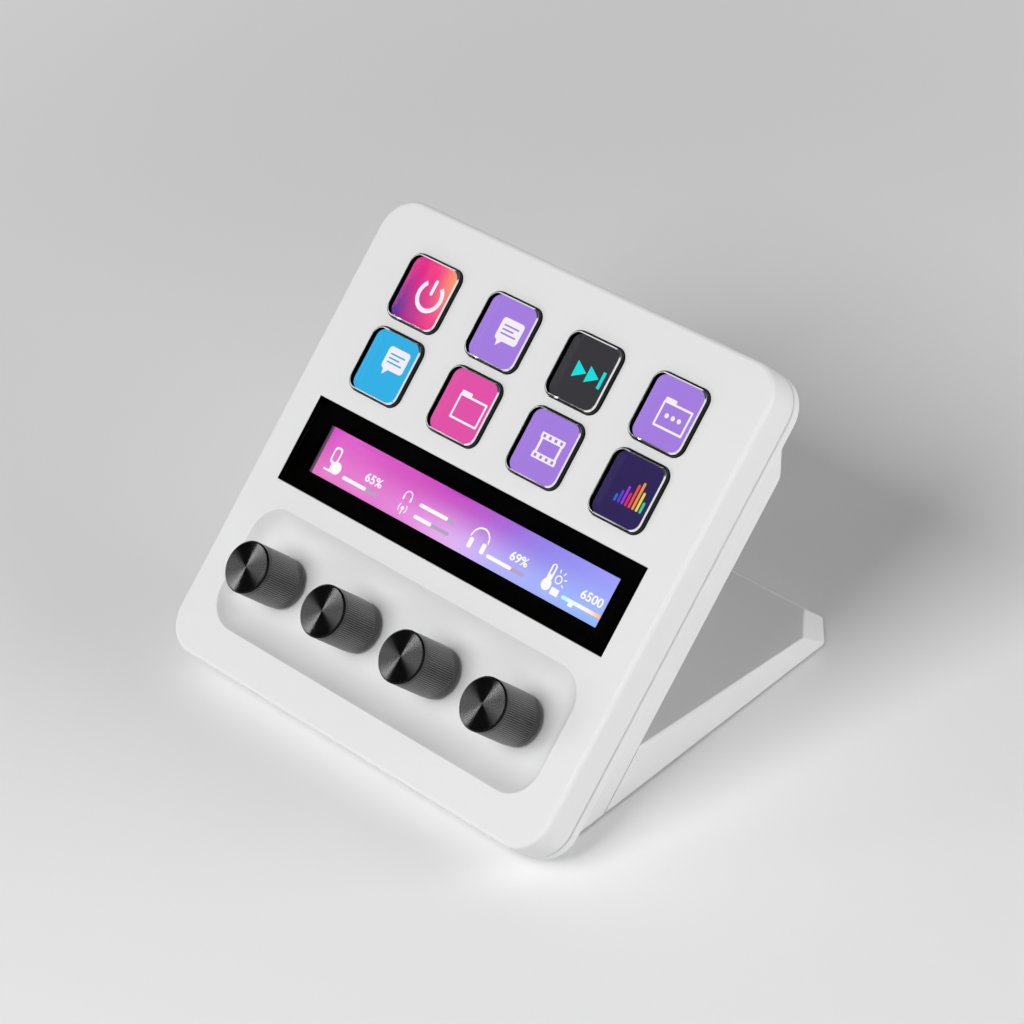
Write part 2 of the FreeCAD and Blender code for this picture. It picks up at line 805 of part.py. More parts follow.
def dial_knob(x, y):
    """Knob with a ribbed band between a smooth foot and a smooth crown, hollow round the bushing."""
    base = -dial_base_depth
    ribs_from = base + dial_smooth_base
    ribs_to = dial_top - dial_smooth_top
    foot = peg(x, y, dial_radius - dial_rib_depth, base, ribs_from, dial_rib_count)
    foot = foot.makeChamfer(dial_base_bevel, edges_at(foot, base))
    crown = peg(x, y, dial_radius, ribs_to, dial_top, dial_rib_count)
    knob = fused([foot, ribbed_band(x, y, ribs_from, ribs_to), crown])
    hollow = peg(x, y, dial_hollow_radius, base - overrun, base + dial_hollow_height)
    bore = flatted_rod(x, y, shaft_radius + shaft_fit, shaft_flat + shaft_fit, base, shaft_above_face)
    return knob.cut([hollow, bore])


def dial_disc(x, y):
    disc = peg(x, y, dial_radius, dial_top, dial_top + disc_thickness, dial_rib_count)
    return disc.makeChamfer(disc_bevel, edges_at(disc, dial_top + disc_thickness))


def dial_shaft(x, y):
    flat_from = -dial_base_depth + dial_hollow_height
    lower = rod(x, y, shaft_radius, -shaft_below_face, flat_from)
    upper = flatted_rod(x, y, shaft_radius, shaft_flat, flat_from, shaft_above_face)
    return fused([lower, upper])


def dial_plunger(x, y):
    return peg(x, y, plunger_radius, -shaft_below_face - plunger_height, -shaft_below_face)


def encoder(x, y):
    """Square encoder case with its round bushing, hollow for the shaft's end and the plunger."""
    half = encoder_side / 2
    case = block(x - half, x + half, y - half, y + half, -encoder_board_depth, -encoder_top_depth)
    bushing = rod(x, y, bushing_radius, -encoder_top_depth - encoder_roof,
                  -encoder_top_depth + bushing_rise)
    reach = encoder_room / 2
    room = block(x - reach, x + reach, y - reach, y + reach, -encoder_board_depth + encoder_floor,
                 -encoder_top_depth - encoder_roof)
    bore = rod(x, y, shaft_radius + shaft_fit, -encoder_board_depth + encoder_floor, 0)
    return fused([case, bushing]).cut([room, bore])


def board(width, height, middle_y, top, places):
    x = width / 2
    y = height / 2
    plate = block(-x, x, middle_y - y, middle_y + y, top - board_thickness, top)
    holes = [peg(px, py, screw_hole_radius, top - board_thickness - overrun, top + overrun)
             for px, py in places]
    return plate.cut(holes)


def dial_board():
    places = four_places(dial_post_x, dial_post_y, trough_y)
    return board(dial_board_width, dial_board_height, trough_y, -encoder_board_depth, places)


def main_board():
    places = four_places(main_post_x, main_post_y, main_board_y)
    return board(main_board_width, main_board_height, main_board_y, -main_board_depth, places)


def usb_socket():
    """Flat oval socket that stands on the back of the main board and ends just inside the wall."""
    low = -back_depth + socket_short
    high = -main_board_depth - board_thickness
    y = socket_y
    shell = rounded_block(0, y, socket_width, socket_height, socket_corner_radius, low, high)
    mouth_height = socket_height - 2 * socket_wall
    mouth = rounded_block(0, y, socket_width - 2 * socket_wall, mouth_height,
                          socket_corner_radius - socket_wall, low - overrun, high - socket_wall)
    tongue = block(-tongue_width / 2, tongue_width / 2, y - tongue_thickness / 2,
                   y + tongue_thickness / 2, low + tongue_short, high - socket_wall)
    return fused([shell.cut(mouth), tongue])


def display_ribbon():
    """Flat ribbon from the tray's lower edge back to the front of the main board."""
    x = display_ribbon_width / 2
    edge_y = display_y - panel_height / 2 - tray_fit - tray_wall
    start_z = -display_depth - panel_thickness
    turn_y = edge_y - display_ribbon_reach
    end_y = main_board_y - main_board_height / 2 + display_ribbon_lap
    t = ribbon_thickness
    first = block(-x, x, turn_y, edge_y, start_z - t, start_z)
    drop = block(-x, x, turn_y, turn_y + t, -main_board_depth, start_z)
    last = block(-x, x, turn_y, end_y, -main_board_depth, -main_board_depth + t)
    return fused([first, drop, last])


def dial_ribbon():
    """Flat ribbon from the back of the dial board to the front of the main board."""
    x0 = dial_ribbon_x - dial_ribbon_width / 2
    x1 = dial_ribbon_x + dial_ribbon_width / 2
    start_z = -encoder_board_depth - board_thickness
    turn_y = trough_y + dial_board_height / 2 + dial_ribbon_reach
    end_y = main_board_y - main_board_height / 2 + dial_ribbon_lap
    t = ribbon_thickness
    first = block(x0, x1, trough_y + dial_board_height / 2 - dial_ribbon_start, turn_y, start_z - t, start_z)
    drop = block(x0, x1, turn_y - t, turn_y, -main_board_depth, start_z)
    last = block(x0, x1, turn_y - t, end_y, -main_board_depth, -main_board_depth + t)
    return fused([first, drop, last])


def case_screws():
    seat = -rim_plate_depth - case_screw_seat
    end = -rim_plate_depth + case_screw_bite - screw_head_height
    return [screw(x, y, seat, end, -1) for x, y in case_screw_places()]


def bracket_screws():
    seat = -tray_back - bracket_thickness
    end = -tray_back + board_screw_bite - screw_head_height
    return [screw(x, y, seat, end, -1)
            for x, y in four_places(bracket_post_x, bracket_post_y, bracket_y)]


def dial_board_screws():
    seat = -encoder_board_depth - board_thickness
    end = -encoder_board_depth + board_screw_bite - screw_head_height
    return [screw(x, y, seat, end, -1) for x, y in four_places(dial_post_x, dial_post_y, trough_y)]


def main_board_screws():
    seat = -main_board_depth
    end = -main_board_depth - board_thickness - board_screw_bite + screw_head_height
    return [screw(x, y, seat, end, 1) for x, y in four_places(main_post_x, main_post_y, main_board_y)]


def leg_screws():
    end = -back_depth - leg_screw_bite + screw_head_height
    return [screw(x, y, -back_floor_depth, end, 1) for x, y in leg_screw_places()]


def floor_plate_screws():
    seat = pad_thickness + screw_head_height
    end = pad_thickness + plate_thickness + floor_screw_bite - screw_pilot_fit
    return [screw(x, y, seat, end, -1) for x, y in four_places(floor_screw_x, floor_screw_y)]


def save(name, shapes, flat=True):
    if not isinstance(shapes, list):
        shapes = [shapes]
    if flat:
        shapes = [in_stance(shape) for shape in shapes]
    whole = shapes[0] if len(shapes) == 1 else Part.makeCompound(shapes)
    whole.exportStep("parts/" + name + ".step")


def main():
    os.makedirs("parts", exist_ok=True)
    save("front_cover", front_cover())
    save("rear_cover", rear_cover())
    save("stand_leg", stand_leg(), False)
    save("floor_plate", floor_plate(), False)
    save("foot_pad", foot_pad(), False)
    save("touch_glass", touch_glass())
    save("display_panel", display_panel())
    save("backlight_tray", backlight_tray())
    save("display_bracket", display_bracket())
    save("key_mat", key_mat())
    save("dial_board", dial_board())
    save("main_board", main_board())
    save("usb_socket", usb_socket())
    save("display_ribbon", display_ribbon())
    save("dial_ribbon", dial_ribbon())
    save("case_screws", case_screws())
    save("bracket_screws", bracket_screws())
    save("dial_board_screws", dial_board_screws())
    save("main_board_screws", main_board_screws())
    save("leg_screws", leg_screws())
    save("floor_plate_screws", floor_plate_screws(), False)
    for number, (x, y) in enumerate(key_centres(), 1):
        save("key_cap_%d" % number, key_cap(x, y))
        save("key_skirt_%d" % number, key_skirt(x, y))
    for number, (x, y) in enumerate(dial_centres(), 1):
        save("dial_knob_%d" % number, dial_knob(x, y))
        save("dial_disc_%d" % number, dial_disc(x, y))
        save("dial_shaft_%d" % number, dial_shaft(x, y))
        save("dial_plunger_%d" % number, dial_plunger(x, y))
        save("encoder_%d" % number, encoder(x, y))


main()
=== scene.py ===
import json
import math

import bpy
from mathutils import Matrix, Vector

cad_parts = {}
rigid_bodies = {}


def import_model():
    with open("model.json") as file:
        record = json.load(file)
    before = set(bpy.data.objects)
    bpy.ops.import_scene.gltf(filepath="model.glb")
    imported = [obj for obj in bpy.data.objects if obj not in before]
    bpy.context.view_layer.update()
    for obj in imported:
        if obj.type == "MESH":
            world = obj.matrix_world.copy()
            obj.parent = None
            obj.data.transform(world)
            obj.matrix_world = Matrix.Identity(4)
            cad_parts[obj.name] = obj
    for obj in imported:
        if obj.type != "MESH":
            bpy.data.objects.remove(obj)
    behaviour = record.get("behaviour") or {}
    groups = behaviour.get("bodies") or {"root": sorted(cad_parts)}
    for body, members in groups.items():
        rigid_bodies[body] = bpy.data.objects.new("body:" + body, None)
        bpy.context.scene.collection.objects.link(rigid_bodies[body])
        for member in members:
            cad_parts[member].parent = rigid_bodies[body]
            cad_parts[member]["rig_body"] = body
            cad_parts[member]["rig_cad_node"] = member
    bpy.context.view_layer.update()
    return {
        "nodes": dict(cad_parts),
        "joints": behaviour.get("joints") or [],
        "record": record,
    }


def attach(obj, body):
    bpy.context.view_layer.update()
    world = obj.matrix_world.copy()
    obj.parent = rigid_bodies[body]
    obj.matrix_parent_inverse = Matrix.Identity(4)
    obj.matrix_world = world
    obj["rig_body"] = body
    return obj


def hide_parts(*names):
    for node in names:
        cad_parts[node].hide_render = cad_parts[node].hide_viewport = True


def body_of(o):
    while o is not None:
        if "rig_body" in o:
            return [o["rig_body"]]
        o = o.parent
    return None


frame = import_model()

bl_info = {
    "name": "Desk keypad with dials",
    "version": (1, 0, 0),
    "blender": (4, 5, 0),
    "location": "View3D > Sidebar > Keypad",
    "description": "Builds a sloping desk keypad with display keys, a touch strip and push dials",
    "category": "Add Mesh",
}

MM = 0.001
JOINTS = {joint["name"]: joint for joint in frame["joints"]}


# Where things are. Lengths are in millimetres: U across, V up the slope, W out of the face.

KEY_PITCH_U = 29.5
KEY_COLUMNS_U = tuple(KEY_PITCH_U * (column - 1.5) for column in range(4))
KEY_ROWS_V = (45.4, 24.1)
STRIP_V = -2.75
DIAL_V = -38.5
DISPLAY_W = -4.2
PICTURE_W = -2.97
TILT = math.atan2(-JOINTS["dial_1_turn"]["axis"][1], JOINTS["dial_1_turn"]["axis"][2])


def face_centre():
    """Middle of the face in metres, worked back from the first dial's axis."""
    at = Vector(JOINTS["dial_1_turn"]["pos_m"])
    up_slope = Vector((0, math.cos(TILT), math.sin(TILT)))
    return Vector((0, at.y, at.z)) - up_slope * DIAL_V * MM


FACE_CENTRE = face_centre()
FACE = Matrix.Translation(FACE_CENTRE) @ Matrix.Rotation(TILT, 4, "X") @ Matrix.Scale(MM, 4)


# Small steps of handwork

def deselect():
    if bpy.context.mode != "OBJECT":
        bpy.ops.object.mode_set(mode="OBJECT")
    bpy.ops.object.select_all(action="DESELECT")


def pick(*objects):
    deselect()
    for each in objects:
        each.select_set(True)
    bpy.context.view_layer.objects.active = objects[0]


def choose(obj, kind, wanted):
    """Enter edit mode with the points, edges or faces selected that pass the test."""
    pick(obj)
    bpy.ops.object.mode_set(mode="EDIT")
    bpy.ops.mesh.select_mode(type=kind)
    bpy.ops.mesh.select_all(action="DESELECT")
    bpy.ops.object.mode_set(mode="OBJECT")
    mesh = obj.data
    for part in {"VERT": mesh.vertices, "EDGE": mesh.edges, "FACE": mesh.polygons}[kind]:
        part.select = wanted(part)
    bpy.ops.object.mode_set(mode="EDIT")


def choose_points(obj, wanted):
    choose(obj, "VERT", wanted)


def choose_edges(obj, wanted):
    """The test is given the places of the edge's two ends."""
    choose(obj, "EDGE", lambda edge: wanted(*(obj.data.vertices[end].co for end in edge.vertices)))


def choose_faces(obj, wanted):
    choose(obj, "FACE", wanted)


def faces_up(face):
    return face.normal.z > 0.9


def raise_faces(rise):
    bpy.ops.mesh.extrude_region_move(TRANSFORM_OT_translate={"value": (0, 0, rise)})


def leave_edit():
    if bpy.context.mode != "OBJECT":
        bpy.ops.object.mode_set(mode="OBJECT")


def settle(obj):
    """Put the place, turn and size of the object into its mesh."""
    pick(obj)
    bpy.ops.object.transform_apply(location=True, rotation=True, scale=True)


def lay_on_face(obj, u=0.0, v=0.0, w=0.0):
    """Bring a piece drawn flat in millimetres to its place on the sloping face."""
    obj.matrix_world = FACE @ Matrix.Translation((u, v, w)) @ obj.matrix_world
    settle(obj)
    return obj


def twin(obj, name):
    """A copy with a mesh of its own."""
    copy = obj.copy()
    copy.data = obj.data.copy()
    copy.name = copy.data.name = name
    bpy.context.scene.collection.objects.link(copy)
    return copy


def finish_edges(obj, width, segments=2, angle=30.0):
    """Round every sharp edge by the given width and apply the modifier."""
    pick(obj)
    bevel = obj.modifiers.new("Edges", "BEVEL")
    bevel.width = width
    bevel.segments = segments
    bevel.limit_method = "ANGLE"
    bevel.angle_limit = math.radians(angle)
    bevel.harden_normals = False
    bpy.ops.object.modifier_apply(modifier=bevel.name)


def smooth(obj, angle=30.0):
    pick(obj)
    bpy.ops.object.shade_smooth_by_angle(angle=math.radians(angle))


def even_shading(obj):
    """Let the big flat faces lead the shading where they meet rounded edges."""
    pick(obj)
    weighted = obj.modifiers.new("Even shading", "WEIGHTED_NORMAL")
    weighted.keep_sharp = True
    weighted.weight = 100
    bpy.ops.object.modifier_apply(modifier=weighted.name)


def dress(obj, material):
    obj.data.materials.clear()
    obj.data.materials.append(material)


def rounded_slab(name, width, height, radius, low, high, steps=8):
    """Slab with round corners, drawn flat about the origin."""
    deselect()
    bpy.ops.mesh.primitive_cube_add(size=1, location=(0, 0, (low + high) / 2))
    slab = bpy.context.object
    slab.name = slab.data.name = name
    slab.scale = (width, height, high - low)
    settle(slab)
    if radius > 0:
        choose_edges(slab, lambda a, b: abs(a.z - b.z) > (high - low) / 2)
        bpy.ops.mesh.bevel(offset=radius, offset_type="OFFSET", segments=steps, affect="EDGES")
        leave_edit()
    return slab


def round_bar(name, radius, low, high, sides=96):
    deselect()
    bpy.ops.mesh.primitive_cylinder_add(vertices=sides, radius=radius, depth=high - low,
                                        location=(0, 0, (low + high) / 2))
    bar = bpy.context.object
    bar.name = bar.data.name = name
    settle(bar)
    return bar


def join(name, *objects):
    pick(*objects)
    bpy.ops.object.join()
    whole = bpy.context.object
    whole.name = whole.data.name = name
    return whole


# Small steps in shaders

def set_values(node, values):
    for name, value in values.items():
        node.inputs[name].default_value = value


def stepped(nodes, links, source, low, high, smoothly=True):
    """0 below the first value, 1 above the second."""
    span = nodes.new("ShaderNodeMapRange")
    if smoothly:
        span.interpolation_type = "SMOOTHSTEP"
    set_values(span, {"From Min": low, "From Max": high})
    links.new(source, span.inputs["Value"])
    return span.outputs["Result"]


def worked(nodes, links, operation, *values):
    """One Math node with the given sockets or numbers."""
    node = nodes.new("ShaderNodeMath")
    node.operation = operation
    for socket, value in zip(node.inputs, values):
        if isinstance(value, (int, float)):
            socket.default_value = value
        else:
            links.new(value, socket)
    return node.outputs[0]


def along_way(nodes, links, direction, way):
    node = nodes.new("ShaderNodeVectorMath")
    node.operation = "DOT_PRODUCT"
    node.inputs[1].default_value = way
    links.new(direction, node.inputs[0])
    return node.outputs["Value"]


# Finishes

BLACK = (0.0, 0.0, 0.0, 1.0)
STRIP_TOP_COLOURS = ((0.0, "#DC58C8"), (0.3, "#CE20B4"), (0.52, "#B420BE"), (0.72, "#7666E0"),
                     (1.0, "#9A9EF8"))
STRIP_LOW_COLOURS = ((0.0, "#E27AC2"), (0.3, "#E06CD0"), (0.48, "#E4B8F2"), (0.66, "#A2A8F6"),
                     (1.0, "#8AB6FA"))
WARM_TOP_COLOURS = ((0.0, "#E01E8A"), (0.4, "#F6247E"), (1.0, "#F7B062"))
WARM_LOW_COLOURS = ((0.0, "#542A98"), (0.45, "#B8248C"), (1.0, "#F01C84"))
COOL_TO_WARM = ((0.0, "#8FEFF2"), (0.35, "#FFFFFF"), (0.7, "#FFE9C8"), (1.0, "#F58F4A"))
UNLIT = (0.0006, 0.0006, 0.0006, 1.0)
GRAIN_DEPTH = 0.00005
# Span of the crest mark over which the painted crest highlight comes in.
CREST_HIGHLIGHT_FROM = 0.45
CREST_HIGHLIGHT_FULLY = 0.95
SPIN_LINES = (90.0, 6.0, 1.0)
SPIN_DRIFT = 0.006


def linear(hex_colour):
    """Colour as written in a paint list, to the linear values that shaders take."""
    parts = [int(hex_colour[i:i + 2], 16) / 255 for i in (1, 3, 5)]
    parts = [c / 12.92 if c <= 0.04045 else ((c + 0.055) / 1.055) ** 2.4 for c in parts]
    return (parts[0], parts[1], parts[2], 1.0)


def grain_group():
    """Fine moulded or blasted grain: a height for bumps and a mask that drifts slowly over the surface."""
    known = bpy.data.node_groups.get("Fine grain")
    if known:
        return known
    group = bpy.data.node_groups.new("Fine grain", "ShaderNodeTree")
    for socket, value in (("Grain size", 4000.0), ("Roughness", 0.45), ("Roughness drift", 0.05)):
        made = group.interface.new_socket(name=socket, in_out="INPUT", socket_type="NodeSocketFloat")
        made.default_value = value
    for socket in ("Height", "Roughness"):
        group.interface.new_socket(name=socket, in_out="OUTPUT", socket_type="NodeSocketFloat")
    nodes, links = group.nodes, group.links
    start = nodes.new("NodeGroupInput")
    end = nodes.new("NodeGroupOutput")
    where = nodes.new("ShaderNodeTexCoord")
    fine = nodes.new("ShaderNodeTexNoise")
    fine.inputs["Detail"].default_value = 2.0
    slow = nodes.new("ShaderNodeTexNoise")
    set_values(slow, {"Scale": 60.0, "Detail": 3.0})
    for noise in (fine, slow):
        links.new(where.outputs["Object"], noise.inputs["Vector"])
    links.new(start.outputs["Grain size"], fine.inputs["Scale"])
    about_zero = worked(nodes, links, "SUBTRACT", slow.outputs["Fac"], 0.5)
    drifted = worked(nodes, links, "MULTIPLY_ADD", about_zero, start.outputs["Roughness drift"],
                     start.outputs["Roughness"])
    links.new(fine.outputs["Fac"], end.inputs["Height"])
    links.new(drifted, end.inputs["Roughness"])
    return group


def plain_material(name):
    known = bpy.data.materials.get(name)
    if known:
        return known, None, None, None
    material = bpy.data.materials.new(name)
    material.use_nodes = True
    tree = material.node_tree
    return material, tree.nodes, tree.links, tree.nodes["Principled BSDF"]


def grained(name, colour, roughness, grain=4000.0, bump=0.05, drift=0.05, metallic=0.0, shine=0.5):
    """Solid colour with a fine grain: plastics, rubber, lacquer and blasted metal."""
    material, nodes, links, shader = plain_material(name)
    if nodes is None:
        return material
    set_values(shader, {"Base Color": colour, "Metallic": metallic, "Specular IOR Level": shine})
    grain_node = nodes.new("ShaderNodeGroup")
    grain_node.node_tree = grain_group()
    set_values(grain_node, {"Grain size": grain, "Roughness": roughness, "Roughness drift": drift})
    relief = nodes.new("ShaderNodeBump")
    set_values(relief, {"Strength": bump, "Distance": GRAIN_DEPTH})
    links.new(grain_node.outputs["Height"], relief.inputs["Height"])
    links.new(relief.outputs["Normal"], shader.inputs["Normal"])
    links.new(grain_node.outputs["Roughness"], shader.inputs["Roughness"])
    return material


def satin_metal(name, colour, roughness):
    return grained(name, colour, roughness, grain=3200.0, bump=0.15, drift=0.06, metallic=1.0)


def polished_metal(name, colour, roughness):
    return grained(name, colour, roughness, grain=3000.0, bump=0.0, drift=0.02, metallic=1.0)


def black_rubber():
    return grained("Black rubber", (0.02, 0.02, 0.02, 1.0), 0.75, grain=2500.0, bump=0.3, drift=0.08)


def clear_material(name, ior, tint):
    """Polished clear material; a low index stands for an anti-glare coating."""
    material, nodes, links, shader = plain_material(name)
    if nodes is None:
        return material
    set_values(shader, {"Base Color": tint, "Transmission Weight": 1.0, "IOR": ior, "Roughness": 0.0})
    return material


def ribbed_material(name, groove, crest_highlight, roughness):
    """Dark satin metal with a painted highlight along the crests that the mesh's own attribute marks."""
    known = bpy.data.materials.get(name)
    if known:
        return known
    material = satin_metal(name, groove, roughness)
    nodes, links = material.node_tree.nodes, material.node_tree.links
    mark = nodes.new("ShaderNodeAttribute")
    mark.attribute_name = "Crest highlight"
    # Painted highlight: the crests are coloured lighter, standing in for the lamp's glint on them.
    crest_highlight_ramp = nodes.new("ShaderNodeValToRGB")
    low, high = crest_highlight_ramp.color_ramp.elements
    low.position, low.color = CREST_HIGHLIGHT_FROM, groove
    high.position, high.color = CREST_HIGHLIGHT_FULLY, crest_highlight
    links.new(mark.outputs["Fac"], crest_highlight_ramp.inputs["Fac"])
    links.new(crest_highlight_ramp.outputs["Color"], nodes["Principled BSDF"].inputs["Base Color"])
    return material


def glowing(name, colour, strength):
    """Lit part of the display in one colour."""
    material, nodes, links, shader = plain_material(name)
    if nodes is None:
        return material
    set_values(shader, {"Base Color": UNLIT, "Roughness": 0.5, "Specular IOR Level": 0.0,
                        "Emission Color": colour, "Emission Strength": strength})
    return material


def light_up(links, shader, colour, strength):
    """Black when off, and lit in the colours that the socket gives."""
    shader.inputs["Base Color"].default_value = UNLIT
    links.new(colour, shader.inputs["Emission Color"])
    shader.inputs["Emission Strength"].default_value = strength


def on_face_coordinates(nodes, links):
    """Mapping node that gives millimetres across and up the face."""
    where = nodes.new("ShaderNodeTexCoord")
    mapping = nodes.new("ShaderNodeMapping")
    mapping.vector_type = "TEXTURE"
    set_values(mapping, {"Location": FACE_CENTRE, "Rotation": (TILT, 0, 0), "Scale": (MM, MM, MM)})
    links.new(where.outputs["Object"], mapping.inputs["Vector"])
    split = nodes.new("ShaderNodeSeparateXYZ")
    links.new(mapping.outputs["Vector"], split.inputs["Vector"])
    return split


def ramp_over(nodes, links, source, low, high, stops):
    """Colour ramp over a span of millimetres."""
    ramp = nodes.new("ShaderNodeValToRGB")
    ramp.color_ramp.interpolation = "B_SPLINE" if len(stops) > 3 else "EASE"
    while len(ramp.color_ramp.elements) < len(stops):
        ramp.color_ramp.elements.new(0.5)
    for element, (place, colour) in zip(ramp.color_ramp.elements, stops):
        element.position = place
        element.color = linear(colour)
    links.new(stepped(nodes, links, source, low, high, smoothly=False), ramp.inputs["Fac"])
    return ramp.outputs["Color"]


def blend_over(nodes, links, source, low, high, first, second):
    """One colour below the span, the other above it."""
    mix = nodes.new("ShaderNodeMix")
    mix.data_type = "RGBA"
    links.new(stepped(nodes, links, source, low, high), mix.inputs[0])
    links.new(first, mix.inputs[6])
    links.new(second, mix.inputs[7])
    return mix.outputs[2]


def strip_picture_material(strength):
    """Pink to violet to blue across the strip, paler towards its lower middle."""
    material, nodes, links, shader = plain_material("Strip picture")
    if nodes is None:
        return material
    split = on_face_coordinates(nodes, links)
    end = PICTURE_WIDTH / 2
    top = ramp_over(nodes, links, split.outputs["X"], -end, end, STRIP_TOP_COLOURS)
    low = ramp_over(nodes, links, split.outputs["X"], -end, end, STRIP_LOW_COLOURS)
    colour = blend_over(nodes, links, split.outputs["Y"], STRIP_V - 6.5, STRIP_V + 6.0, low, top)
    light_up(links, shader, colour, strength)
    return material


def power_tile_material(strength, u, v):
    """Warm corner to violet corner over one key's picture."""
    material, nodes, links, shader = plain_material("Warm picture")
    if nodes is None:
        return material
    split = on_face_coordinates(nodes, links)
    low = ramp_over(nodes, links, split.outputs["X"], u - 9, u + 4, WARM_LOW_COLOURS)
    top = ramp_over(nodes, links, split.outputs["X"], u - 9, u + 8.5, WARM_TOP_COLOURS)
    colour = blend_over(nodes, links, split.outputs["Y"], v - 9, v + 9, low, top)
    light_up(links, shader, colour, strength)
    return material


def spun_material(name, colour, roughness):
    """Turned metal: the brushing follows the disc's own ring-wise map."""
    material, nodes, links, shader = plain_material(name)
    if nodes is None:
        return material
    set_values(shader, {"Base Color": colour, "Metallic": 1.0, "Anisotropic": 1.0})
    tangent = nodes.new("ShaderNodeTangent")
    tangent.direction_type = "UV_MAP"
    tangent.uv_map = "Rings"
    links.new(tangent.outputs["Tangent"], shader.inputs["Tangent"])
    rings = nodes.new("ShaderNodeUVMap")
    rings.uv_map = "Rings"
    stretch = nodes.new("ShaderNodeMapping")
    stretch.inputs["Scale"].default_value = SPIN_LINES
    lines = nodes.new("ShaderNodeTexNoise")
    set_values(lines, {"Scale": 1.0, "Detail": 2.0})
    span = nodes.new("ShaderNodeMapRange")
    set_values(span, {"To Min": roughness - SPIN_DRIFT, "To Max": roughness + SPIN_DRIFT})
    links.new(rings.outputs["UV"], stretch.inputs["Vector"])
    links.new(stretch.outputs["Vector"], lines.inputs["Vector"])
    links.new(lines.outputs["Fac"], span.inputs["Value"])
    links.new(span.outputs["Result"], shader.inputs["Roughness"])
    return material


# What a user may change

class KeypadCase(bpy.types.PropertyGroup):
    colour: bpy.props.FloatVectorProperty(
        name="Case colour", description="Colour of the moulded covers and stand",
        subtype="COLOR", size=3, min=0, max=1, default=(0.80, 0.80, 0.805))
    edge: bpy.props.FloatProperty(
        name="Edge softness", description="Width of the small round on every crisp edge",
        subtype="DISTANCE", unit="LENGTH", default=0.00018, min=0.0, precision=5)
    roughness: bpy.props.FloatProperty(
        name="Roughness", description="How matte the moulded surface is",
        subtype="FACTOR", default=0.5, min=0, max=1)


class KeypadKeys(bpy.types.PropertyGroup):
    skirt_colour: bpy.props.FloatVectorProperty(
        name="Skirt colour", description="Colour of the frame round each key",
        subtype="COLOR", size=3, min=0, max=1, default=(0.006, 0.006, 0.007))
    corner: bpy.props.FloatProperty(
        name="Corner radius", description="Corner radius of the clear caps in millimetres",
        default=2.9, min=0.5, max=5.0)
    ior: bpy.props.FloatProperty(
        name="Refraction", description="Refractive index of the clear caps",
        default=1.2, min=1.0, max=2.0)


class KeypadDisplay(bpy.types.PropertyGroup):
    brightness: bpy.props.FloatProperty(
        name="Brightness", description="Strength of the lit pictures",
        default=1.0, min=0.0, max=5.0)
    icon_colour: bpy.props.FloatVectorProperty(
        name="Icon colour", description="Colour of the signs on the pictures",
        subtype="COLOR", size=3, min=0, max=1, default=(0.93, 0.88, 0.95))


class KeypadDials(bpy.types.PropertyGroup):
    ribs: bpy.props.IntProperty(
        name="Ribs", description="Number of ribs round each dial",
        default=76, min=12, max=160)
    rib_depth: bpy.props.FloatProperty(
        name="Rib depth", description="Depth of the grooves in millimetres",
        default=0.28, min=0.0, max=1.0)
    side_colour: bpy.props.FloatVectorProperty(
        name="Side colour", description="Colour of the smooth foot and crown",
        subtype="COLOR", size=3, min=0, max=1, default=(0.085, 0.085, 0.085))
    groove_colour: bpy.props.FloatVectorProperty(
        name="Groove colour", description="Colour between the ribs",
        subtype="COLOR", size=3, min=0, max=1, default=(0.10, 0.10, 0.10))
    # Colour of the painted highlight along the ribs' crests.
    crest_highlight_colour: bpy.props.FloatVectorProperty(
        name="Crest colour", description="Colour along the ribs' crests",
        subtype="COLOR", size=3, min=0, max=1, default=(0.34, 0.34, 0.34))
    cap_colour: bpy.props.FloatVectorProperty(
        name="Cap colour", description="Colour of the spun cap",
        subtype="COLOR", size=3, min=0, max=1, default=(0.06, 0.06, 0.06))


class KeypadStage(bpy.types.PropertyGroup):
    floor_colour: bpy.props.FloatVectorProperty(
        name="Floor colour", description="Colour of the floor",
        subtype="COLOR", size=3, min=0, max=1, default=(0.88, 0.88, 0.88))
    light: bpy.props.FloatProperty(
        name="Light", description="Strength of the main soft light in watts",
        subtype="POWER", unit="POWER", default=8.15, min=0.0)
    sky: bpy.props.FloatProperty(
        name="Surround", description="Strength of the even light from all round",
        default=0.115, min=0.0, max=2.0)
    backdrop: bpy.props.FloatProperty(
        name="Backdrop", description="Strength at which the horizon is seen and mirrored",
        default=0.8, min=0.0, max=1.0)
    ceiling: bpy.props.FloatProperty(
        name="Ceiling", description="Strength at which the space overhead is mirrored",
        default=0.05, min=0.0, max=1.0)
    panel: bpy.props.FloatProperty(
        name="Panel", description="Strength of the long soft panel at the left",
        default=52.0, min=0.0, max=90.0)


def rgba(colour):
    return (colour[0], colour[1], colour[2], 1.0)


# Case

SAME_POINT = 0.000002
FLAT_ANGLE = 0.4
SHARP_ANGLE = 35.0
SMOOTH_ANGLE = 32.0
PAD_ROUNDING = 0.0003


def copy_of_node(node, edge):
    """Merged copy of one of the frame's pieces, with softened edges, that stands for it."""
    source = frame["nodes"][node]
    body = body_of(source)[0]
    piece = twin(source, node + "_shell")
    piece.parent = None
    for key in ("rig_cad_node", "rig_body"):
        if key in piece:
            del piece[key]
    pick(piece)
    bpy.ops.object.mode_set(mode="EDIT")
    bpy.ops.mesh.select_all(action="SELECT")
    bpy.ops.mesh.remove_doubles(threshold=SAME_POINT)
    bpy.ops.mesh.dissolve_limited(angle_limit=math.radians(FLAT_ANGLE))
    bpy.ops.object.mode_set(mode="OBJECT")
    if edge > 0:
        finish_edges(piece, edge, 2, SHARP_ANGLE)
    smooth(piece, SMOOTH_ANGLE)
    even_shading(piece)
    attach(piece, body)
    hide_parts(node)
    return piece


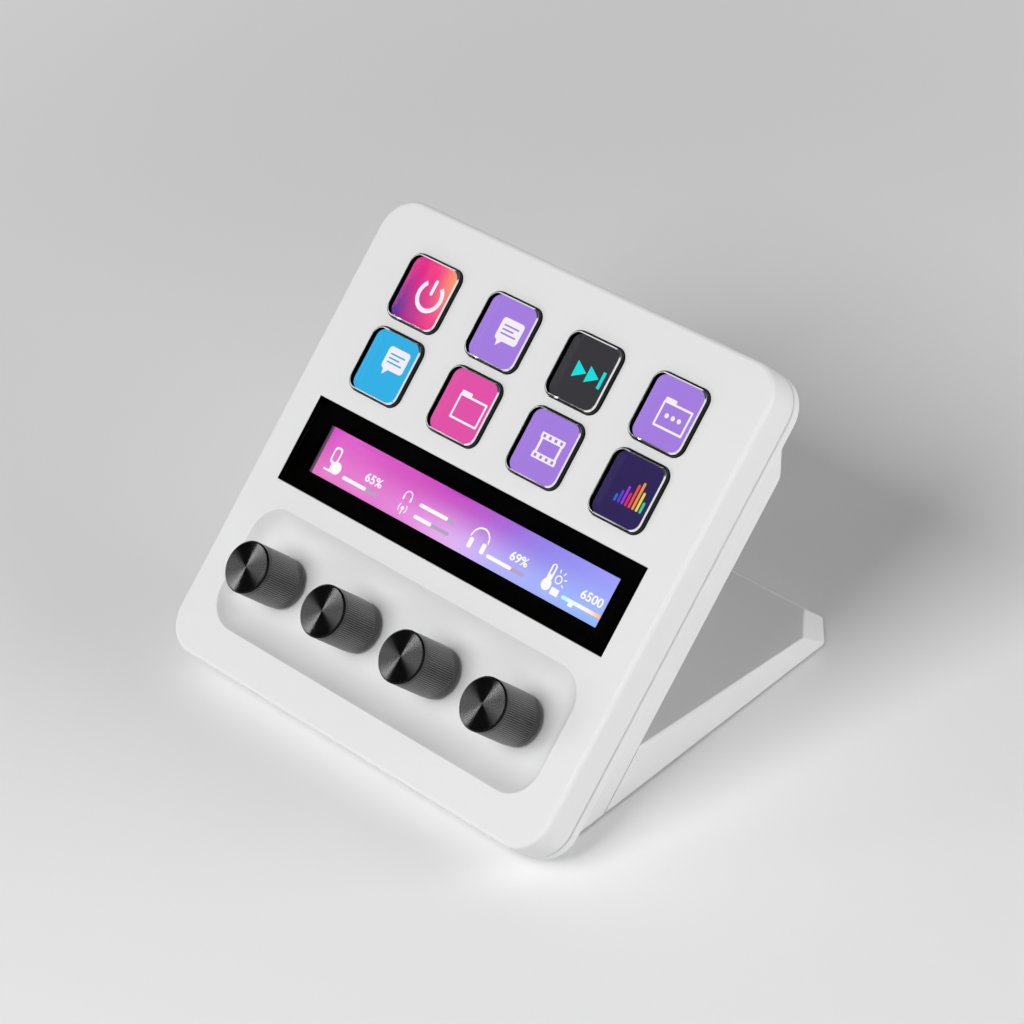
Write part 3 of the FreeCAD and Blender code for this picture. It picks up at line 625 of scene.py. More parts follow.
class KEYPAD_OT_case(bpy.types.Operator):
    """Soften and finish the front cover, the rear cover, the stand and its pad"""
    bl_idname = "keypad.case"
    bl_label = "Case and stand"

    def execute(self, context):
        look = context.scene.keypad_case
        white = grained("White moulded plastic", rgba(look.colour), look.roughness,
                        grain=5200.0, bump=0.12, drift=0.06)
        for node in ("front_cover", "rear_cover", "stand_leg"):
            dress(copy_of_node(node, look.edge), white)
        dress(copy_of_node("foot_pad", PAD_ROUNDING), black_rubber())
        return {"FINISHED"}


# Keys

CORNER_STEPS = 10
SKIRT_SIDE = 18.5
SKIRT_CORNER = 3.2
SKIRT_WALL = 0.55
SKIRT_FOOT_W = -2.6
SKIRT_FLANGE = 1.1
SKIRT_FLANGE_TOP_W = -2.1
SKIRT_TOP_W = 1.0
SKIRT_ROUNDING = 0.12
CAP_STEM = 17.3
CAP_LIP = 17.9
CAP_BEVEL = 0.4
CAP_ROUNDING = 0.05
CAP_CORNER_INSET = 0.25
CAP_FOOT_W = -2.9
CAP_NECK_W = -0.8
CAP_LIP_W = 1.0
CAP_TOP_W = 1.5


def make_skirt(look):
    """Thin-walled black frame with a flange at its foot."""
    skirt = rounded_slab("skirt", SKIRT_SIDE, SKIRT_SIDE, SKIRT_CORNER, SKIRT_FOOT_W, SKIRT_FLANGE_TOP_W,
                         CORNER_STEPS)
    choose_faces(skirt, faces_up)
    raise_faces(SKIRT_TOP_W - SKIRT_FLANGE_TOP_W)
    leave_edit()
    choose_faces(skirt, lambda f: abs(f.normal.z) > 0.9)
    bpy.ops.mesh.delete(type="FACE")
    leave_edit()
    pick(skirt)
    thick = skirt.modifiers.new("Wall", "SOLIDIFY")
    thick.thickness = SKIRT_WALL
    thick.offset = -1
    bpy.ops.object.modifier_apply(modifier=thick.name)
    middle_of_wall = (SKIRT_SIDE - SKIRT_WALL) / 2
    corner_start = middle_of_wall - 1.5

    def outside_foot(f):
        far = max(abs(f.center.x), abs(f.center.y))
        round_far = math.hypot(f.center.x, f.center.y)
        upright = abs(f.normal.z) < 0.1
        low = f.center.z < SKIRT_FLANGE_TOP_W
        outward = f.normal.x * f.center.x + f.normal.y * f.center.y > 0
        return upright and low and outward and (far > corner_start or round_far > middle_of_wall)

    choose_faces(skirt, outside_foot)
    bpy.ops.mesh.extrude_region_shrink_fatten(TRANSFORM_OT_shrink_fatten={"value": SKIRT_FLANGE})
    leave_edit()
    finish_edges(skirt, SKIRT_ROUNDING, 3, 40.0)
    smooth(skirt, 35.0)
    even_shading(skirt)
    dress(skirt, grained("Black satin plastic", rgba(look.skirt_colour), 0.25,
                         grain=3000.0, bump=0.05, drift=0.04, shine=0.15))
    return skirt


def make_cap(look):
    """Clear block with a blackened neck under a bright bevelled lip."""
    cap = rounded_slab("cap", CAP_STEM, CAP_STEM, look.corner - CAP_CORNER_INSET, CAP_FOOT_W, CAP_NECK_W,
                       CORNER_STEPS)
    choose_faces(cap, faces_up)
    raise_faces(CAP_LIP_W - CAP_NECK_W)
    raise_faces(0)
    wider = CAP_LIP / CAP_STEM
    bpy.ops.transform.resize(value=(wider, wider, 1), center_override=(0, 0, CAP_LIP_W))
    raise_faces(CAP_TOP_W - CAP_LIP_W - CAP_BEVEL)
    raise_faces(CAP_BEVEL)
    narrower = (CAP_LIP - 2 * CAP_BEVEL) / CAP_LIP
    bpy.ops.transform.resize(value=(narrower, narrower, 1), center_override=(0, 0, CAP_TOP_W))
    leave_edit()
    above_lip = CAP_LIP_W + 0.05
    choose_edges(cap, lambda a, b: a.z > above_lip and b.z > above_lip and abs(a.z - b.z) < 0.01)
    bpy.ops.mesh.bevel(offset=CAP_ROUNDING, offset_type="OFFSET", segments=2, affect="EDGES")
    leave_edit()
    smooth(cap)
    even_shading(cap)
    dress(cap, clear_material("Clear acrylic", look.ior, (0.985, 0.985, 0.99, 1.0)))
    cap.data.materials.append(glowing("Blackened neck", BLACK, 0.0))
    cap.data.materials.append(polished_metal("Bright bevel", (0.95, 0.95, 0.96, 1.0), 0.16))
    for face in cap.data.polygons:
        upright, high = abs(face.normal.z) < 0.5, face.center.z
        if upright and CAP_NECK_W < high < CAP_LIP_W - 0.02:
            face.material_index = 1
        elif 0.6 < face.normal.z < 0.8 and high > CAP_LIP_W + 0.1:
            face.material_index = 2
    return cap


def key_places():
    return [(u, v) for v in KEY_ROWS_V for u in KEY_COLUMNS_U]


class KEYPAD_OT_keys(bpy.types.Operator):
    """Model one black skirt and one clear cap, and set a copy of each at every key"""
    bl_idname = "keypad.keys"
    bl_label = "Keys"

    def execute(self, context):
        look = context.scene.keypad_keys
        skirt, cap = make_skirt(look), make_cap(look)
        for number, (u, v) in enumerate(key_places(), 1):
            for part, word, slot in ((skirt, "key_skirt", "black_skirt"), (cap, "key_cap", "clear_cap")):
                piece = lay_on_face(twin(part, "%s_%d_look" % (word, number)), u, v)
                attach(piece, "key_%d" % number)
                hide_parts("%s_%d" % (word, number))
        for part in (skirt, cap):
            bpy.data.objects.remove(part)
        return {"FINISHED"}


# Signs on the display, drawn in millimetres about the origin. A raised one lies on another.

PLATE = 0.03
RAISED = 0.06


def flat_bar(width, height, u=0.0, v=0.0, turn=0.0, radius=None, thick=PLATE):
    """Thin plate with round ends."""
    end = min(width, height) * 0.499 if radius is None else radius
    bar = rounded_slab("bar", width, height, end, 0, thick, 5)
    bar.matrix_world = Matrix.Translation((u, v, 0)) @ Matrix.Rotation(math.radians(turn), 4, "Z")
    settle(bar)
    return bar


def flat_disc(radius, u=0.0, v=0.0, sides=40, thick=PLATE):
    disc = round_bar("disc", radius, 0, thick, sides)
    disc.location = (u, v, 0)
    settle(disc)
    return disc


def flat_ring(radius, stroke, u=0.0, v=0.0, start=0.0, sweep=360.0):
    """Part of a flat ring, from a start angle round by a sweep."""
    deselect()
    bpy.ops.mesh.primitive_torus_add(major_radius=radius, minor_radius=stroke / 2, major_segments=72,
                                     minor_segments=4, location=(0, 0, 0))
    ring = bpy.context.object
    if sweep < 360:
        def gone(p):
            angle = (math.degrees(math.atan2(p.co.y, p.co.x)) - start) % 360
            return angle > sweep
        choose_points(ring, gone)
        bpy.ops.mesh.delete(type="VERT")
        leave_edit()
    ring.scale = (1, 1, RAISED / stroke)
    ring.location = (u, v, RAISED / 2)
    settle(ring)
    return ring


def frame_bars(width, height, stroke, u=0.0, v=0.0):
    """Open frame of four bars."""
    return [flat_bar(width, stroke, u, v + height / 2 - stroke / 2),
            flat_bar(width, stroke, u, v - height / 2 + stroke / 2),
            flat_bar(stroke, height, u - width / 2 + stroke / 2, v),
            flat_bar(stroke, height, u + width / 2 - stroke / 2, v)]


def figures(words, size, u, v):
    """Plain figures, made a mesh."""
    deselect()
    bpy.ops.object.text_add(location=(0, 0, 0))
    text = bpy.context.object
    text.data.body = words
    text.data.size = size
    text.data.align_x = "CENTER"
    text.data.align_y = "CENTER"
    text.data.offset = size * 0.02
    pick(text)
    bpy.ops.object.convert(target="MESH")
    text = bpy.context.object
    choose_faces(text, lambda f: True)
    raise_faces(PLATE)
    leave_edit()
    text.scale = (1.15, 1.0, 1.0)
    text.location = (u, v, 0)
    settle(text)
    return text


def wedge(points, thick=PLATE):
    """Flat plate with three or more corners, given in order."""
    deselect()
    bpy.ops.mesh.primitive_circle_add(vertices=len(points), radius=1, fill_type="NGON")
    plate = bpy.context.object
    for number, (u, v) in enumerate(points):
        choose_points(plate, lambda p: p.index == number)
        now = plate.data.vertices[number].co
        bpy.ops.transform.translate(value=(u - now.x, v - now.y, 0))
        leave_edit()
    choose_faces(plate, lambda f: True)
    bpy.ops.mesh.normals_make_consistent(inside=False)
    raise_faces(thick)
    bpy.ops.mesh.select_all(action="SELECT")
    bpy.ops.mesh.normals_make_consistent(inside=False)
    leave_edit()
    return plate


def power_sign():
    return [flat_ring(4.0, 1.25, 0, 0, 128, 284), flat_bar(1.05, 4.4, 0, 2.5)]


def speech_sign(ground, shift):
    bubble = flat_bar(7.8, 6.2, 0, 0.9 + shift, 0, 1.0)
    tail = wedge([(-2.9, -1.7 + shift), (-2.5, -3.8 + shift), (-0.5, -1.7 + shift)])
    lines = [flat_bar(width, 0.45, u, v + shift, thick=RAISED)
             for width, u, v in ((5.4, 0, 2.1), (4.0, -0.7, 0.95), (5.4, 0, -0.2))]
    for line in lines:
        dress(line, ground)
    return [bubble, tail], lines


def folder_sign():
    return frame_bars(9.9, 7.0, 0.6, 0, -0.6) + [flat_bar(3.7, 1.2, -2.9, 3.2, 0, 0.35)]


def dots_sign():
    return folder_sign() + [flat_disc(0.65, u, -0.6, 20) for u in (-2.1, 0.0, 2.1)]


def film_sign(ground):
    edges_v = (2.7, -2.6)
    bars = [flat_bar(8.3, 1.7, -0.6, v, radius=0.25) for v in edges_v]
    bars += [flat_bar(0.8, 5.6, u, 0, radius=0.1) for u in (-4.0, 2.9)]
    holes = [flat_bar(0.85, 0.85, u, v, radius=0.1, thick=RAISED)
             for u in (-3.6, -1.6, 0.4, 2.4) for v in edges_v]
    for hole in holes:
        dress(hole, ground)
    return bars, holes


def arrow_sign():
    """Two triangles that point right, and a bar."""
    arrows = [wedge([(u, -2.3), (u + 4.0, 0), (u, 2.3)]) for u in (-5.2, -0.8)]
    return arrows + [flat_bar(1.0, 4.6, 4.2, radius=0.1)]


def meter_sign(brightness):
    """Row of bars of unlike heights, each in a colour of its own."""
    bars = []
    for place, (tall, colour) in enumerate(zip(METER_HEIGHTS, METER_COLOURS)):
        bar = flat_bar(0.75, tall, (place - 3.5) * 1.25, tall / 2 - 3.8)
        dress(bar, glowing("Meter light %d" % (place + 1), linear(colour), brightness))
        bars.append(bar)
    return bars


def as_one(name, parts, material):
    whole = join(name, *parts)
    dress(whole, material)
    return whole


# Pictures of the keys, the first one warm

TILE_SIDE = 17.36
TILE_CORNER = 2.7
TILE_THICK = 0.02
TILE_COLOURS = ("#A680E2", "#3A393E", "#A680E2", "#35B3E8", "#E455A9", "#A680E2", "#33295A")
TEAL = "#19E3DE"
METER_HEIGHTS = (2.0, 3.4, 5.0, 3.6, 6.4, 7.4, 5.2, 3.0)
METER_COLOURS = ("#2F6FE0", "#5A48D8", "#A038D8", "#E0306E", "#F0553C", "#F59A3C", "#EBDD50", "#45CFA0")


def key_sign(number, ground, ink, look):
    """The dressed parts of one key's sign."""
    if number in (2, 5):
        bubble, lines = speech_sign(ground, 0.0 if number == 2 else 1.5)
        return [as_one("sign", bubble, ink)] + lines
    if number == 3:
        return [as_one("sign", arrow_sign(), glowing("Teal light", linear(TEAL), look.brightness))]
    if number == 7:
        bars, holes = film_sign(ground)
        return [as_one("sign", bars, ink)] + holes
    if number == 8:
        return meter_sign(look.brightness)
    plain_signs = {1: power_sign, 4: dots_sign, 6: folder_sign}
    return [as_one("sign", plain_signs[number](), ink)]


class KEYPAD_OT_pictures(bpy.types.Operator):
    """Light a picture with a plain sign at the foot of every clear cap"""
    bl_idname = "keypad.pictures"
    bl_label = "Key pictures"

    def execute(self, context):
        look = context.scene.keypad_display
        ink = glowing("Sign light", rgba(look.icon_colour), look.brightness)
        for number, (u, v) in enumerate(key_places(), 1):
            if number == 1:
                ground = power_tile_material(look.brightness, u, v)
            else:
                colour = TILE_COLOURS[number - 2]
                ground = glowing("Picture %s" % colour[1:], linear(colour), look.brightness)
            tile = rounded_slab("tile", TILE_SIDE, TILE_SIDE, TILE_CORNER, 0, TILE_THICK, CORNER_STEPS)
            dress(tile, ground)
            picture = join("key_picture_%d" % number, tile, *key_sign(number, ground, ink, look))
            lay_on_face(picture, u, v, PICTURE_W)
            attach(picture, "key_%d" % number)
        return {"FINISHED"}


# Strip

GLASS_WIDTH = 120.2
GLASS_HEIGHT = 24.4
GLASS_FOOT_W = -1.72
GLASS_ROUNDING = 0.08
BORDER_FOOT_W = -1.8
BORDER_TOP_W = -1.74
WINDOW_WIDTH = 106.6
WINDOW_HEIGHT = 13.45
PICTURE_WIDTH = 108.0
PICTURE_HEIGHT = 13.5
# Width of the glowing stripe at the picture's left end: a painted reflection of the screen's edge in the
# depth under the glass.
EDGE_REFLECTION_WIDTH = 0.9
SIGN_SHIFT_U = -3.25
FIGURE_SIZE = 3.3
FIGURE_V = -1.0
LEVEL_V = -4.0


def strip_signs(ground, ink, grey, warm):
    """Signs, level bars and figures along the strip, in the display's own millimetres."""
    white, dull, gaps = [], [], []

    def bar(width, height, u, v, turn=0.0, radius=None, thick=PLATE):
        white.append(flat_bar(width, height, u + SIGN_SHIFT_U, v, turn, radius, thick))

    def disc(radius, u, v, sides, thick=PLATE):
        white.append(flat_disc(radius, u + SIGN_SHIFT_U, v, sides, thick))

    def ring(radius, stroke, u, v, start=0.0, sweep=360.0):
        white.append(flat_ring(radius, stroke, u + SIGN_SHIFT_U, v, start, sweep))

    def words(figure_text, u):
        white.append(figures(figure_text, FIGURE_SIZE, u + SIGN_SHIFT_U, FIGURE_V))

    def level(left, right, end, v=LEVEL_V):
        dull.append(flat_bar(end - left, 1.0, (left + end) / 2 + SIGN_SHIFT_U, v))
        bar(right - left, 1.0, (left + right) / 2, v, thick=RAISED)

    def hollow(width, height, u, v):
        gap = flat_bar(width, height, u + SIGN_SHIFT_U, v, thick=RAISED)
        dress(gap, ground)
        gaps.append(gap)

    # first place: a bar-shaped pick-up on its foot
    bar(2.9, 4.6, -45.7, 0.2, radius=1.0)
    hollow(1.9, 3.6, -45.7, 0.2)
    bar(4.4, 0.5, -45.7, -4.2)
    bar(0.5, 2.4, -45.7, -3.0)
    disc(1.7, -43.8, -2.8, 32, RAISED)
    words("65%", -30.4)
    level(-40.5, -31.5, -27.0)
    # second place: two small signs and two bars
    ring(1.3, 0.35, -17.6, -0.2, 0, 180)
    bar(0.6, 1.3, -18.9, -0.9)
    bar(0.6, 1.3, -16.3, -0.9)
    disc(0.55, -17.6, -3.6, 20)
    bar(0.35, 1.9, -17.6, -4.4)
    ring(1.4, 0.3, -17.6, -3.6, -50, 100)
    ring(1.4, 0.3, -17.6, -3.6, 130, 100)
    level(-13.0, -2.5, 0.0, -0.7)
    level(-13.0, -6.5, 0.0)
    # third place: headphones
    ring(3.1, 0.45, 9.7, -1.4, 0, 180)
    bar(1.5, 2.8, 7.4, -3.0, radius=0.5)
    bar(1.5, 2.8, 12.0, -3.0, radius=0.5)
    words("69%", 23.9)
    level(14.0, 23.0, 27.5)
    # fourth place: warmth sign and a tinted bar
    bar(1.8, 5.8, 35.0, -0.4)
    hollow(0.75, 2.6, 35.0, 0.9)
    disc(1.6, 35.0, -3.1, 28)
    ring(1.0, 0.35, 37.9, -0.7)
    for turn in (15, 60, 105, 330):
        angle = math.radians(turn)
        bar(1.0, 0.35, 37.9 + 2.2 * math.cos(angle), -0.7 + 2.2 * math.sin(angle), turn)
    bar(2.7, 1.9, 38.4, -3.9, radius=0.3)
    words("6500", 49.8)
    bar(1.6, 0.9, 44.6, -4.9, radius=0.3, thick=RAISED)
    tinted = flat_bar(14.6, 1.0, 48.3 + SIGN_SHIFT_U, LEVEL_V, radius=0.45)
    dress(tinted, warm)
    return [as_one("white", white, ink), as_one("dull", dull, grey)] + gaps + [tinted]


def tinted_bar_material(strength):
    material, nodes, links, shader = plain_material("Cool to warm bar")
    if nodes is None:
        return material
    split = on_face_coordinates(nodes, links)
    colour = ramp_over(nodes, links, split.outputs["X"], 38, 52.5, COOL_TO_WARM)
    light_up(links, shader, colour, strength)
    return material


def make_strip_glass():
    """Coated glass plate whose edge is blackened all round."""
    glass = rounded_slab("touch_glass_look", GLASS_WIDTH, GLASS_HEIGHT, 0, GLASS_FOOT_W, 0)
    finish_edges(glass, GLASS_ROUNDING, 2)
    smooth(glass)
    even_shading(glass)
    dress(glass, clear_material("Coated strip glass", 1.08, (1.0, 1.0, 1.0, 1.0)))
    glass.data.materials.append(glowing("Blackened glass edge", BLACK, 0.0))
    for face in glass.data.polygons:
        face.material_index = int(abs(face.normal.z) < 0.9)
    return glass


def make_strip_border():
    """Black print under the glass, with a window for the picture."""
    border = rounded_slab("strip_border", GLASS_WIDTH, GLASS_HEIGHT, 0, BORDER_FOOT_W, BORDER_TOP_W)
    choose_faces(border, lambda f: abs(f.normal.z) > 0.9)
    bpy.ops.mesh.inset(thickness=0.001, use_individual=True)
    window = (WINDOW_WIDTH / GLASS_WIDTH, WINDOW_HEIGHT / GLASS_HEIGHT, 1)
    bpy.ops.transform.resize(value=window, center_override=(0, 0, 0))
    bpy.ops.mesh.bridge_edge_loops()
    leave_edit()
    dress(border, glowing("Black print", BLACK, 0.0))
    return border


def make_strip_picture(brightness):
    """Lit picture with its signs and, at its left end, a glowing stripe that is a painted reflection of
    the screen's edge.
    """
    ground = strip_picture_material(brightness)
    picture = rounded_slab("picture", PICTURE_WIDTH, PICTURE_HEIGHT, 0, 0, TILE_THICK)
    dress(picture, ground)
    # Painted reflection: a dull glowing stripe beside the picture stands in for the screen's edge mirrored
    # under the glass.
    edge_reflection_u = -(PICTURE_WIDTH + EDGE_REFLECTION_WIDTH) / 2
    edge_reflection = flat_bar(EDGE_REFLECTION_WIDTH, PICTURE_HEIGHT, edge_reflection_u, radius=0.0, thick=TILE_THICK)
    dress(edge_reflection, glowing("Painted screen edge reflection", linear("#5E4E60"), brightness))
    ink = glowing("Strip sign light", (1.0, 0.97, 1.0, 1.0), brightness)
    grey = glowing("Dull light", linear("#B3A3BE"), brightness)
    signs = strip_signs(ground, ink, grey, tinted_bar_material(brightness))
    return join("strip_picture", picture, edge_reflection, *signs)


class KEYPAD_OT_strip(bpy.types.Operator):
    """Set the flush glass, its black border and the lit strip picture"""
    bl_idname = "keypad.strip"
    bl_label = "Touch strip"

    def execute(self, context):
        look = context.scene.keypad_display
        glass, border = make_strip_glass(), make_strip_border()
        picture = make_strip_picture(look.brightness)
        for piece, w, slot in ((glass, 0.0, "dark_glass"), (border, 0.0, "display"),
                               (picture, DISPLAY_W + 0.01, "display")):
            lay_on_face(piece, 0, STRIP_V, w)
            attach(piece, "case")
        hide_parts("touch_glass")
        return {"FINISHED"}


# Dials

DIAL_RADIUS = 7.1
DIAL_SIDES = 96
DIAL_FOOT_W = -3.4
RIBS_FOOT_W = -0.9
RIBS_TOP_W = 10.9
DIAL_TOP_W = 12.0
FOOT_INSET = 0.12
FOOT_ROUNDING = 0.75
CROWN_INSET = 0.02
DISC_RISE = 0.6
DISC_BEVEL = 0.4
DISC_RINGS = (1.2, 1.8, 2.0)
DIAL_ROUGHNESS = 0.34
DISC_ROUGHNESS = 0.2


def ring_map(obj, radius):
    """Map whose first direction runs out from the axis and whose second runs round it."""
    layer = obj.data.uv_layers.new(name="Rings")
    for face in obj.data.polygons:
        middle = math.atan2(face.center.y, face.center.x)
        for corner in face.loop_indices:
            point = obj.data.vertices[obj.data.loops[corner].vertex_index].co
            far = math.hypot(point.x, point.y)
            angle = math.atan2(point.y, point.x) if far > 0.02 else middle
            while angle - middle > math.pi:
                angle -= 2 * math.pi
            while angle - middle < -math.pi:
                angle += 2 * math.pi
            layer.data[corner].uv = (far / radius, angle / (2 * math.pi))


def make_knob(look):
    """Ribbed band over a smooth foot and under a smooth crown."""
    ribbed = ribbed_material("Ribbed dark metal, painted crest highlight", rgba(look.groove_colour), rgba(look.crest_highlight_colour),
                             DIAL_ROUGHNESS)
    side = satin_metal("Dark satin metal", rgba(look.side_colour), DIAL_ROUGHNESS)
    band = round_bar("band", DIAL_RADIUS, RIBS_FOOT_W, RIBS_TOP_W, 2 * look.ribs)
    half_pitch = math.pi / look.ribs

    def in_groove(point):
        step = round(math.atan2(point.co.y, point.co.x) / half_pitch)
        return math.hypot(point.co.x, point.co.y) > 1 and step % 2 == 0

    choose_points(band, in_groove)
    share = (DIAL_RADIUS - look.rib_depth) / DIAL_RADIUS
    bpy.ops.transform.resize(value=(share, share, 1), center_override=(0, 0, 0))
    leave_edit()
    # Marks the rib crests, where the ribbed material paints its highlight.
    crest_highlight = band.data.attributes.new("Crest highlight", "FLOAT", "POINT")
    for point in band.data.vertices:
        on_crest = math.hypot(point.co.x, point.co.y) > DIAL_RADIUS - 0.01
        crest_highlight.data[point.index].value = 1.0 if on_crest else 0.0
    dress(band, ribbed)
    foot = round_bar("foot", DIAL_RADIUS - FOOT_INSET, DIAL_FOOT_W, RIBS_FOOT_W, DIAL_SIDES)
    lowest = DIAL_FOOT_W + 0.1
    choose_edges(foot, lambda a, b: a.z < lowest and b.z < lowest)
    bpy.ops.mesh.bevel(offset=FOOT_ROUNDING, offset_type="OFFSET", segments=5, affect="EDGES")
    leave_edit()
    crown = round_bar("crown", DIAL_RADIUS - CROWN_INSET, RIBS_TOP_W, DIAL_TOP_W, DIAL_SIDES)
    for smooth_part in (foot, crown):
        dress(smooth_part, side)
    knob = join("knob", band, foot, crown)
    smooth(knob, 25.0)
    return knob


def make_disc(look):
    """Spun cap: rings of faces inside a narrow polished bevel."""
    bevel_foot_w = DIAL_TOP_W + DISC_RISE - DISC_BEVEL
    disc = round_bar("disc", DIAL_RADIUS, DIAL_TOP_W, bevel_foot_w, DIAL_SIDES)
    choose_faces(disc, faces_up)
    raise_faces(DISC_BEVEL)
    share = (DIAL_RADIUS - DISC_BEVEL) / DIAL_RADIUS
    bpy.ops.transform.resize(value=(share, share, 1), center_override=(0, 0, DIAL_TOP_W + DISC_RISE))
    for width in DISC_RINGS:
        bpy.ops.mesh.inset(thickness=width)
    bpy.ops.mesh.poke()
    leave_edit()
    ring_map(disc, DIAL_RADIUS)
    disc.data.materials.append(spun_material("Spun dark metal", rgba(look.cap_colour), DISC_ROUGHNESS))
    disc.data.materials.append(polished_metal("Polished edge", (0.012, 0.012, 0.012, 1.0), DISC_ROUGHNESS))
    for face in disc.data.polygons:
        face.material_index = 0 if face.normal.z > 0.95 else 1
    smooth(disc, 25.0)
    return disc


class KEYPAD_OT_dials(bpy.types.Operator):
    """Model one ribbed knob and one spun cap, and set a copy of each on every shaft"""
    bl_idname = "keypad.dials"
    bl_label = "Dials"

    def execute(self, context):
        look = context.scene.keypad_dials
        knob, disc = make_knob(look), make_disc(look)
        for number, u in enumerate(KEY_COLUMNS_U, 1):
            for part, word in ((knob, "dial_knob"), (disc, "dial_disc")):
                piece = lay_on_face(twin(part, "%s_%d_look" % (word, number)), u, DIAL_V)
                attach(piece, "dial_%d" % number)
                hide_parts("%s_%d" % (word, number))
        for part in (knob, disc):
            bpy.data.objects.remove(part)
        return {"FINISHED"}


# Inner parts

class KEYPAD_OT_inner(bpy.types.Operator):
    """Give the parts inside the case their finishes"""
    bl_idname = "keypad.inner"
    bl_label = "Inner parts"

    def execute(self, context):
        tray = grained("White tray plastic", (0.7, 0.7, 0.7, 1.0), 0.5, grain=3000.0, bump=0.1)
        finishes = {
            "steel": grained("Zinc plated steel", (0.55, 0.55, 0.56, 1.0), 0.32,
                             grain=2000.0, bump=0.1, drift=0.1, metallic=1.0),
            "rubber": black_rubber(),
            "display": grained("Dark display", linear("#2E2B33"), 0.3, grain=3000.0, bump=0.0, drift=0.02),
            "display_tray": tray,
            "circuit_board": grained("Green solder mask", (0.01, 0.10, 0.05, 1.0), 0.3,
                                     grain=1500.0, bump=0.1),
            "ribbon": grained("Amber film", (0.45, 0.18, 0.03, 1.0), 0.3, grain=2000.0),
            "white_plastic": tray,
        }
        slots = {row["node"]: row["material_slot"] for row in frame["record"]["subparts"]}
        for node, obj in frame["nodes"].items():
            if not obj.hide_render:
                dress(obj, finishes[slots[node]])
        return {"FINISHED"}


# Stage. Ways are directions in the scene; what is measured along a way is a cosine.

PHOTO_SIDE_PIXELS = 1024.0
FOCAL_LENGTH_PIXELS = 3900.0
SENSOR_WIDTH = 36.0
CAMERA_AT = Vector((622.0, 12.05, 764.7))
CAMERA_RIGHT = Vector((0.6912, 0.4655, -0.5527))
CAMERA_AHEAD = Vector((-0.6219, -0.0062, -0.7831))
LAMP_AIM = (0, 0, 0.05)
LAMP_WIDTH = 0.6
LAMP_HEIGHT = 0.5
FRONT_LAMP_AT = (0.0, -0.75, 0.8)
RIGHT_LAMP_AT = (0.9, 0.4, 0.35)
RIGHT_LAMP_SHARE = 0.67
FLOOR_SIDE = 6
FLOOR_NEAR = 0.14
FLOOR_FAR = 0.75
LEFT_WAY = (-0.8, -0.6, 0.0)
CEILING_LEAN = 0.5
CEILING_EDGE = (0.6, 0.72)
LEFT_BAND_FOOT = (0.06, 0.16)
LEFT_BAND_START = (0.2, 0.4)
PANEL_TURN = math.radians(72)
PANEL_WIDTH = 0.32
PANEL_FADE = 2.0
PANEL_EDGE = 0.012
PANEL_END = -0.05
PANEL_NEAR = (0.988, 0.984)
PANEL_FAR = (0.83, 0.87)
PANEL_MATTE_SHARE = 0.18


def soft_lamp(name, place, power):
    deselect()
    bpy.ops.object.light_add(type="AREA", location=place)
    lamp = bpy.context.object
    lamp.name = name
    lamp.data.shape = "RECTANGLE"
    lamp.data.size = LAMP_WIDTH
    lamp.data.size_y = LAMP_HEIGHT
    lamp.data.energy = power
    lamp.rotation_euler = (Vector(LAMP_AIM) - Vector(place)).to_track_quat("-Z", "Y").to_euler()
    return lamp


def add_camera():
    """Camera at the photograph's place, given in the face's millimetres."""
    deselect()
    bpy.ops.object.camera_add()
    camera = bpy.context.object
    camera.data.sensor_width = SENSOR_WIDTH
    camera.data.lens = FOCAL_LENGTH_PIXELS / PHOTO_SIDE_PIXELS * SENSOR_WIDTH
    camera.data.clip_start = 0.05
    camera.data.clip_end = 20.0
    turn = Matrix.Rotation(TILT, 3, "X")
    back = -(turn @ CAMERA_AHEAD).normalized()
    across = turn @ CAMERA_RIGHT
    across = (across - back * across.dot(back)).normalized()
    basis = Matrix((across, back.cross(across), back)).transposed()
    camera.matrix_world = Matrix.Translation(FACE @ CAMERA_AT) @ basis.to_4x4()
    bpy.context.scene.camera = camera
    return camera


def seen_rays(nodes, links):
    """One for the rays of the eye, of metal and of glass, zero for the light on matte surfaces."""
    path = nodes.new("ShaderNodeLightPath")
    asked = worked(nodes, links, "ADD", path.outputs["Is Camera Ray"], path.outputs["Is Glossy Ray"])
    asked = worked(nodes, links, "ADD", asked, path.outputs["Is Transmission Ray"])
    return worked(nodes, links, "MINIMUM", 1.0, asked)


def floor_material(look):
    """Pale matte floor that meets the pale walls without a dark edge far away."""
    material, nodes, links, shader = plain_material("Pale floor")
    set_values(shader, {"Base Color": rgba(look.floor_colour), "Roughness": 0.7})
    distance = nodes.new("ShaderNodeVectorMath")
    distance.operation = "LENGTH"
    links.new(nodes.new("ShaderNodeTexCoord").outputs["Object"], distance.inputs[0])
    far = stepped(nodes, links, distance.outputs["Value"], FLOOR_NEAR, FLOOR_FAR)
    pale = nodes.new("ShaderNodeEmission")
    set_values(pale, {"Color": (1, 1, 1, 1), "Strength": look.backdrop})
    mixed = nodes.new("ShaderNodeMixShader")
    links.new(worked(nodes, links, "MULTIPLY", far, seen_rays(nodes, links)), mixed.inputs["Fac"])
    links.new(shader.outputs["BSDF"], mixed.inputs[1])
    links.new(pale.outputs["Emission"], mixed.inputs[2])
    links.new(mixed.outputs["Shader"], nodes["Material Output"].inputs["Surface"])
    return material


def by_ray(nodes, links, matte, seen):
    """The first number for light on matte surfaces, the second socket or number for seen rays."""
    span = nodes.new("ShaderNodeMapRange")
    span.inputs["To Min"].default_value = matte
    if isinstance(seen, (int, float)):
        span.inputs["To Max"].default_value = seen
    else:
        links.new(seen, span.inputs["To Max"])
    links.new(seen_rays(nodes, links), span.inputs["Value"])
    return span.outputs["Result"]


